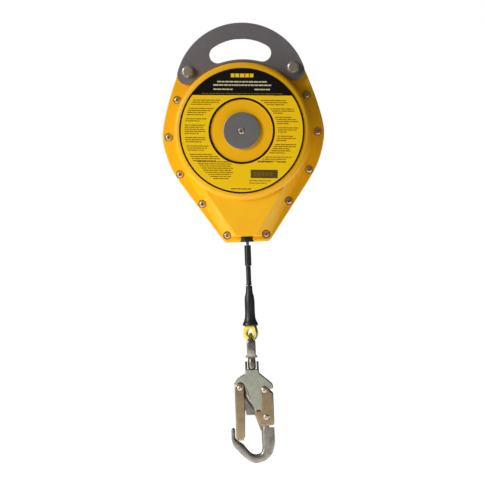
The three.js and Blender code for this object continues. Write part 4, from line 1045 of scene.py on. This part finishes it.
bar_rows("label_column_bars", columns, label_ochre, 1, (2, 9), 0.8)
ink_sheet("label_panel", turned_on_label([(14, -70), (54, -70), (54, -57.5), (14, -57.5)]), label_olive)
bar_rows("label_panel_bars", [(18, 50, -66.4, 5.4)], label_ochre, 2, (4, 7), 1.4)

# %% [markdown]
# ## Hub and nozzle
# A turned steel cap covers the end of the shaft on each side. The nozzle is a moulded
# bushing whose mouth flares, so that the rope never bends over an edge.

# %% Hub caps and nozzle
CAP_FRONT = -49.9
cap_profile = [(3.4, -46.3), (27.5, -46.3)] + softened(
    [(27.5, -46.6), (27.5, CAP_FRONT), (7.2, CAP_FRONT)], 1.0, closed=False) + [
    (5.9, CAP_FRONT + 0.4), (5.9, CAP_FRONT + 1.2), (3.4, CAP_FRONT + 1.2)]
cap = turned_piece("front_cap_turned", cap_profile, segments=96, ring=True)
place_piece(cap, turned_steel, "casing", "brushed_plate", "front_hub_cap")
lo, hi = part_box("rear_hub_cap")
rear_outer = (hi[1] - PARTING_Y) / MM
rear_inner = (lo[1] - PARTING_Y) / MM
rear_profile = [(0, rear_inner), (27.5, rear_inner)] + softened(
    [(27.5, rear_inner + 0.3), (27.5, rear_outer), (20, rear_outer)], 1.0, closed=False) + [(0, rear_outer)]
rear_cap = turned_piece("rear_cap_turned", rear_profile, segments=96)
place_piece(rear_cap, turned_steel, "casing", "brushed_plate", "rear_hub_cap")

HUB_SEAT = CAP_FRONT + 1.2 - 0.3
hub_profile = [(0, HUB_SEAT + 18), (2.6, HUB_SEAT + 18), (3, HUB_SEAT + 17.4), (3, HUB_SEAT)] + softened(
    [(3.2, HUB_SEAT), (5.2, HUB_SEAT), (5.1, HUB_SEAT - 1.4), (3.6, HUB_SEAT - 2.6)], 0.8,
    closed=False) + [(0, HUB_SEAT - 2.6)]
hub_screw = socket_screw("hub_screw_fitted", hub_profile, 4.0, 1.8, HUB_SEAT - 2.6)
place_piece(hub_screw, bright_zinc, "casing", "zinc_steel", "front_hub_screw")

nozzle_profile = softened(
    [(3.3, -159), (4.0, -162), (6.2, -165), (12.5, -165), (12.5, -157), (9, -157), (9, -148),
     (6, -148), (3.3, -152)], 1.1)
nozzle = turned_piece("moulded_nozzle", nozzle_profile, axis="Z", segments=56, ring=True)
place_piece(nozzle, moulded_nylon, "casing", "black_nylon", "nozzle_bushing")

# %% [markdown]
# ## Swivel eye
# The eye is forged: a round bar where it passes through the thimble, legs that widen
# into a flat ring, and a round shank that turns in the hook's head. The ring is a skin
# over sections along its centre line, and the shank is turned and joined on.

# %% Swivel eye
EYE_CROWN = -306.6
EYE_BOTTOM = -335.5
EYE_HALF = 9.5
EYE_BAR = 6.5
CROWN_RADIUS = 2.5
EYE_BROAD = 6.0
crown_z = EYE_CROWN - EYE_HALF
base_z = EYE_BOTTOM + EYE_HALF
ring_line = []
for k in range(25):
    turn = math.pi * k / 24
    ring_line.append((math.cos(turn), math.sin(turn), crown_z))
for k in range(1, 16):
    ring_line.append((-1, 0, crown_z + (base_z - crown_z) * k / 16))
for k in range(25):
    turn = math.pi + math.pi * k / 24
    ring_line.append((math.cos(turn), math.sin(turn), base_z))
for k in range(1, 16):
    ring_line.append((1, 0, base_z + (crown_z - base_z) * k / 16))


def eye_section(dy, dz, z0):
    """An oval across the bar that turns from round at the crown to flat below."""
    fall = min(max((crown_z + 6.5 - z0 - dz * EYE_HALF) / 6.5, 0), 1)
    ease = fall * fall * (3 - 2 * fall)
    half_x = CROWN_RADIUS + (EYE_BROAD - CROWN_RADIUS) * ease
    half_bar = CROWN_RADIUS + (EYE_BAR / 2 - CROWN_RADIUS) * ease
    power = 1 - 0.45 * ease
    section = []
    for k in range(28):
        turn = 2 * math.pi * k / 28
        c, s = math.cos(turn), math.sin(turn)
        x = half_x * math.copysign(abs(c) ** power, c)
        r = EYE_HALF + half_bar * (1 + math.copysign(abs(s) ** power, s))
        section.append(at(x, r * dy, z0 + r * dz))
    return section


eye = lofted_piece("forged_eye", [eye_section(dy, dz, z) for dy, dz, z in ring_line], looped=True)
shank_profile = softened(
    [(0, -339), (5.2, -339), (6.0, -346), (6.0, -354.4), (5.0, -356.6), (4, -356.7), (4, -372.3),
     (5.2, -372.3), (5.2, -375.9), (0, -375.9)], 0.8, closed=False)
shank = turned_piece("eye_shank", shank_profile, axis="Z", segments=40)
combine(eye, shank, "UNION")
pin_hole = rod_piece(2.2, -12, 12, segments=24)
across_x = (Matrix.Translation(at(0, 0, -337.7)) @ Matrix.Rotation(math.pi / 2, 4, "Z")
            @ Matrix.Translation(-at(0, 0, 0)))
pin_hole.data.transform(across_x)
combine(eye, pin_hole, "DIFFERENCE")
place_piece(eye, forged_steel, "eye", "forged_steel", "swivel_eye", crease=40)

pin_profile = softened([(0, -8.8), (1.9, -8.8), (1.9, 8.8), (0, 8.8)], 0.5, closed=False)
cross_pin = turned_piece("eye_pin", pin_profile, segments=24)
cross_pin.data.transform(across_x)
place_piece(cross_pin, bright_zinc, "eye", "zinc_steel", "eye_cross_pin")

# %% [markdown]
# ## Snap hook body
# The hook is drop forged: a rounded bar for spine, bowl and nose, and a flat head with
# two thick cheeks. The bar is a skin over sections between an outer and an inner line.

# %% Hook bar
bar_pairs = [
    ((30.4, -441), (14, -441)), ((30.4, -447), (11.6, -447)), ((30.6, -458), (11.0, -460)),
    ((30.2, -471), (11.2, -472)), ((26.4, -484), (10.6, -479)), ((20, -491.5), (8.6, -482.6)),
    ((11, -496.4), (4.6, -484.5)), ((1, -498), (-1.4, -484.5)), ((-8, -495), (-5.8, -482.4)),
    ((-17, -488), (-11.4, -476.4)), ((-25.5, -479.3), (-16.8, -469.8)),
    ((-31.4, -472), (-22.6, -465.2)), ((-34.2, -463), (-28.2, -461)),
    ((-34.4, -454), (-28.9, -453.5)), ((-34.2, -446.8), (-29.1, -446.8)),
    ((-33.2, -445), (-30.0, -445)), ((-32.0, -444.6), (-31.2, -444.6)),
]
outer_bar = smooth_line([Vector((x, z, 0)) for (x, z), _ in bar_pairs], 6)
inner_bar = smooth_line([Vector((x, z, 0)) for _, (x, z) in bar_pairs], 6)
BAR_HALF = 6.8
bar_sections = []
for i, (o, n) in enumerate(zip(outer_bar, inner_bar)):
    middle, half = (o + n) / 2, (o - n) / 2
    left = min((len(outer_bar) - 1 - i) / 16, 1)
    thick = BAR_HALF * (0.55 + 0.45 * math.sqrt(left))
    section = []
    for k in range(32):
        turn = 2 * math.pi * k / 32
        c, s = math.cos(turn), math.sin(turn)
        u = math.copysign(abs(c) ** 0.62, c)
        v = math.copysign(abs(s) ** 0.62, s)
        point = middle + half * u
        section.append(at(point.x, v * thick, point.y))
    bar_sections.append(section)
hook = lofted_piece("forged_hook", bar_sections)
print("hook bar", len(bar_sections), "sections")

# %% [markdown]
# The head is a thin web with a thick cheek plate over it, prongs at the top that hold
# the swivel, and bores for the rivets.

# %% Hook head
GATE_PIVOT = (-19, -384)
LEVER_PIVOT = (17.7, -388)
LEVER_STOP = (19, -428.5)
RIVET_BORE = 2.5
web = [(22.6, -450), (22.6, -380), (-8, -366)] + arc(*GATE_PIVOT, 5, 60, 230, 10) + [
    (-11.6, -420), (-10.6, -425.4), (2, -425.4), (10.4, -450)]
cheeks = ([(-10.2, -363), (-9.2, -357), (10.2, -357), (10.2, -362.5)]
          + softened([(10.2, -362.5), (27.6, -377.4), (30.4, -381.0), (30.4, -386.2)], 2.5,
                      closed=False)[1:]
          + [(22.6, -392), (22.6, -424), (13.5, -418.5), (3.4, -418), (-4.4, -403), (-6, -390)]
          + arc(*GATE_PIVOT, 8.6, 20, 155, 14) + [(-27.4, -376.5), (-24, -371.2), (-17, -366.4)])
head = sheet_piece("hook_web", softened(web, 1.5), -3.5, 3.5, 0.6)
combine(head, sheet_piece("hook_cheeks", softened(cheeks, 1.2, steps=2), -7, 7, 1.0), "UNION")


def box_piece(x0, x1, y0, y1, z0, z1):
    return hull_piece("block", [(x, y, z) for x in (x0, x1) for y in (y0, y1) for z in (z0, z1)])


prong_ring = turned_piece("prongs", softened(
    [(7.3, -357), (7.3, -345), (10.2, -345), (10.2, -364), (7.3, -364)], 0.8),
    axis="Z", segments=64, ring=True)
for cutter in (box_piece(-30, 30, -20, -7, -400, -300), box_piece(-30, 30, 7, 20, -400, -300),
               box_piece(-7.3, 7.3, -20, 20, -357, -300)):
    combine(prong_ring, cutter, "DIFFERENCE")
combine(head, prong_ring, "UNION")
combine(hook, head, "UNION")
combine(hook, box_piece(22.6, 40, -20, 20, -445.6, -386.5), "DIFFERENCE")
for radius, bottom, top in ((4.3, -374, -350), (5.5, -376.6, -372)):
    combine(hook, turned_piece("swivel_bore", [(0, bottom), (radius, bottom), (radius, top), (0, top)],
                               axis="Z", segments=40), "DIFFERENCE")
for (x, z), radius, y0, y1 in ((GATE_PIVOT, RIVET_BORE, -20, 20), (LEVER_PIVOT, RIVET_BORE, -20, 20),
                               (LEVER_STOP, RIVET_BORE, -20, 20), (GATE_PIVOT, 4.6, -5, -1.1),
                               (LEVER_PIVOT, 4.1, -9, -4.3)):
    combine(hook, rod_piece(radius, y0, y1, x, z), "DIFFERENCE")
place_piece(hook, forged_steel, "hook", "forged_steel", "hook_body", crease=40)
hook.data.materials.append(cheek_steel)
for face in hook.data.polygons:
    middle = face.center
    if abs(face.normal.y) > 0.9 and middle.z > at(0, 0, -426).z and abs(middle.y - PARTING_Y) > 0.0068:
        face.material_index = 1

# %% [markdown]
# ## Gate and lock lever
# Both are pressed channels in gold coloured zinc plate. Each is an outline with the
# pressing's rounded bend along its back, and the inside of the channel cut out.

# %% Gate
gx, gz = GATE_PIVOT
gate_outline = softened([(gx - 8, gz - 79), (gx + 1, gz - 79), (gx + 4.6, gz - 75), (gx + 6, gz - 41),
                         (gx + 6, gz)] + arc(gx, gz, 8, 42, 168, 12) + [(gx - 8, gz - 20)], 1.2, steps=2)
gate = sheet_piece("pressed_gate", gate_outline, -6.1, 6.1, 2.2, steps=5)
gate_room = sheet_piece("gate_room", [(gx - 6.3, gz - 90), (gx + 30, gz - 90), (gx + 30, gz + 30),
                                      (gx - 6.3, gz + 30)], -4.4, 4.4, 0.6)
combine(gate, gate_room, "DIFFERENCE")
gate_tip = sheet_piece("gate_tip", softened([(gx - 7, gz - 79), (gx + 3, gz - 79), (gx + 3, gz - 70),
                                             (gx - 7, gz - 70)], 1), -4.9, 4.9, 0.8)
combine(gate, gate_tip, "UNION")
combine(gate, rod_piece(RIVET_BORE, -20, 20, gx, gz), "DIFFERENCE")
place_piece(gate, gold_zinc, "gate", "gold_zinc", "hook_gate")

# %% [markdown]
# The lever wraps the hook's back. Its slot runs on the stop rivet, which limits its
# travel, so the slot is cut a little longer than the rivet.

# %% Lock lever
lx, lz = LEVER_PIVOT
lever_outline = softened(
    [(30.4, -394)] + arc(lx, lz, 5.6, 30, 180, 12) + [(12.6, -396), (12.6, -419), (3.2, -419.6),
     (2.6, -424), (9.4, -440.5), (12.5, -441.5), (28.9, -441.5), (30.4, -440)], 1.4, steps=3)
lever = sheet_piece("pressed_lock_lever", lever_outline, -8.9, 8.9, 1.1)
combine(lever, box_piece(-20, 28.8, -7.3, 7.3, -460, -370), "DIFFERENCE")
combine(lever, rod_piece(RIVET_BORE, -20, 20, lx, lz), "DIFFERENCE")
sx, sz = LEVER_STOP
stop_slot = sheet_piece("stop_slot", softened([(sx - 2.5, sz - 2.9), (sx + 5.4, sz - 2.9),
                                               (sx + 5.4, sz + 2.9), (sx - 2.5, sz + 2.9)], 2.4), -20, 20)
combine(lever, stop_slot, "DIFFERENCE")
place_piece(lever, gold_zinc, "lever", "gold_zinc", "lock_lever")

# %% [markdown]
# Rivets are snapped shut with domed heads. The springs are real coils, though only their edges show beside
# the rivets.

# %% Rivets and springs
RIVET_HEAD = 4.3


def domed_rivet(name, half, place, node_name):
    """Each end is a low dome with the round dimple of the rolling tool in it."""
    dome = [(RIVET_HEAD * math.cos(t), half + 1.5 * math.sin(t)) for t in (0, 0.35, 0.7, 0.95)]
    dome += [(1.6, half + 1.42), (1.2, half + 0.9)]
    profile = [(0, -half - 0.9)] + [(r, -h) for r, h in reversed(dome)] + [(2.2, -half), (2.2, half)]
    profile += dome + [(0, half + 0.9)]
    rivet = turned_piece(name, profile, x=place[0], z=place[1], segments=40)
    return place_piece(rivet, bright_zinc, "hook", "zinc_steel", node_name)


for name, node_name, place in (("gate_rivet_domed", "gate_rivet", GATE_PIVOT),
                               ("lever_rivet_domed", "lever_rivet", LEVER_PIVOT),
                               ("lever_stop_rivet_domed", "lever_stop_rivet", LEVER_STOP)):
    low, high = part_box(node_name)
    half = (high[1] - low[1]) / MM / 2 - 1.5
    domed_rivet(name, half, place, node_name)


def coil_spring(name, node_name, place, mean, wire, y_start, turns):
    """A helix of round wire round a rivet, flat enough to lie in its pocket."""
    line = []
    for k in range(turns * 20 + 1):
        turn = 2 * math.pi * k / 20
        line.append(at(place[0] + mean * math.cos(turn),
                       y_start + wire * (0.5 + 1.04 * k / 20),
                       place[1] + mean * math.sin(turn)))
    sections = []
    for i, p in enumerate(line):
        along = (line[min(i + 1, len(line) - 1)] - line[max(i - 1, 0)]).normalized()
        side = along.cross(Vector((0, 1, 0))).normalized()
        up = side.cross(along)
        sections.append([p + (side * math.cos(t) + up * math.sin(t)) * wire / 2 * MM
                         for t in [2 * math.pi * j / 10 for j in range(10)]])
    coil = lofted_piece(name, sections)
    return place_piece(coil, bright_zinc, "hook", "zinc_steel", node_name, crease=60)


for name, node_name, place in (("gate_spring_coil", "gate_spring", GATE_PIVOT),
                               ("lever_spring_coil", "lever_spring", LEVER_PIVOT)):
    low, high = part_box(node_name)
    y_low, y_high = (low[1] - PARTING_Y) / MM, (high[1] - PARTING_Y) / MM
    outer_radius = (high[0] - low[0]) / MM / 2
    wire = min((y_high - y_low) / 3.1, 0.9)
    coil_spring(name, node_name, place, outer_radius - wire / 2 - 0.05, wire, y_low, 2)

# %% [markdown]
# ## Inside the casing
# The drum, brake and power spring are closed in and keep their measured shapes. Each
# gets the finish of its real metal, so that an opened block looks right too.

# %% Finishes for the pieces inside
for material, names in {
    oiled_steel: ["main_shaft", "power_spring", "cone_washer", "brake_ring", "pawl_pin_1",
                  "pawl_pin_2", "pawl_1", "pawl_2"],
    cast_alloy: ["spring_cup", "drum_spool", "drum_flange_front", "drum_flange_rear",
                 "loop_ferrule"],
    wire_steel: ["rope_lead", "wound_rope"],
    sintered_bronze: ["drum_bush"],
    brake_lining: ["friction_disc_rear", "friction_disc_front"],
    bright_zinc: ["pressure_plate", "shaft_nut", "pawl_spring_1", "pawl_spring_2"],
}.items():
    for name in names:
        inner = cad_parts[name]
        for number in range(max(1, len(inner.material_slots))):
            if inner.material_slots:
                inner.material_slots[number].material = material
            else:
                inner.data.materials.append(material)
    print(material.name, len(names), "pieces inside")
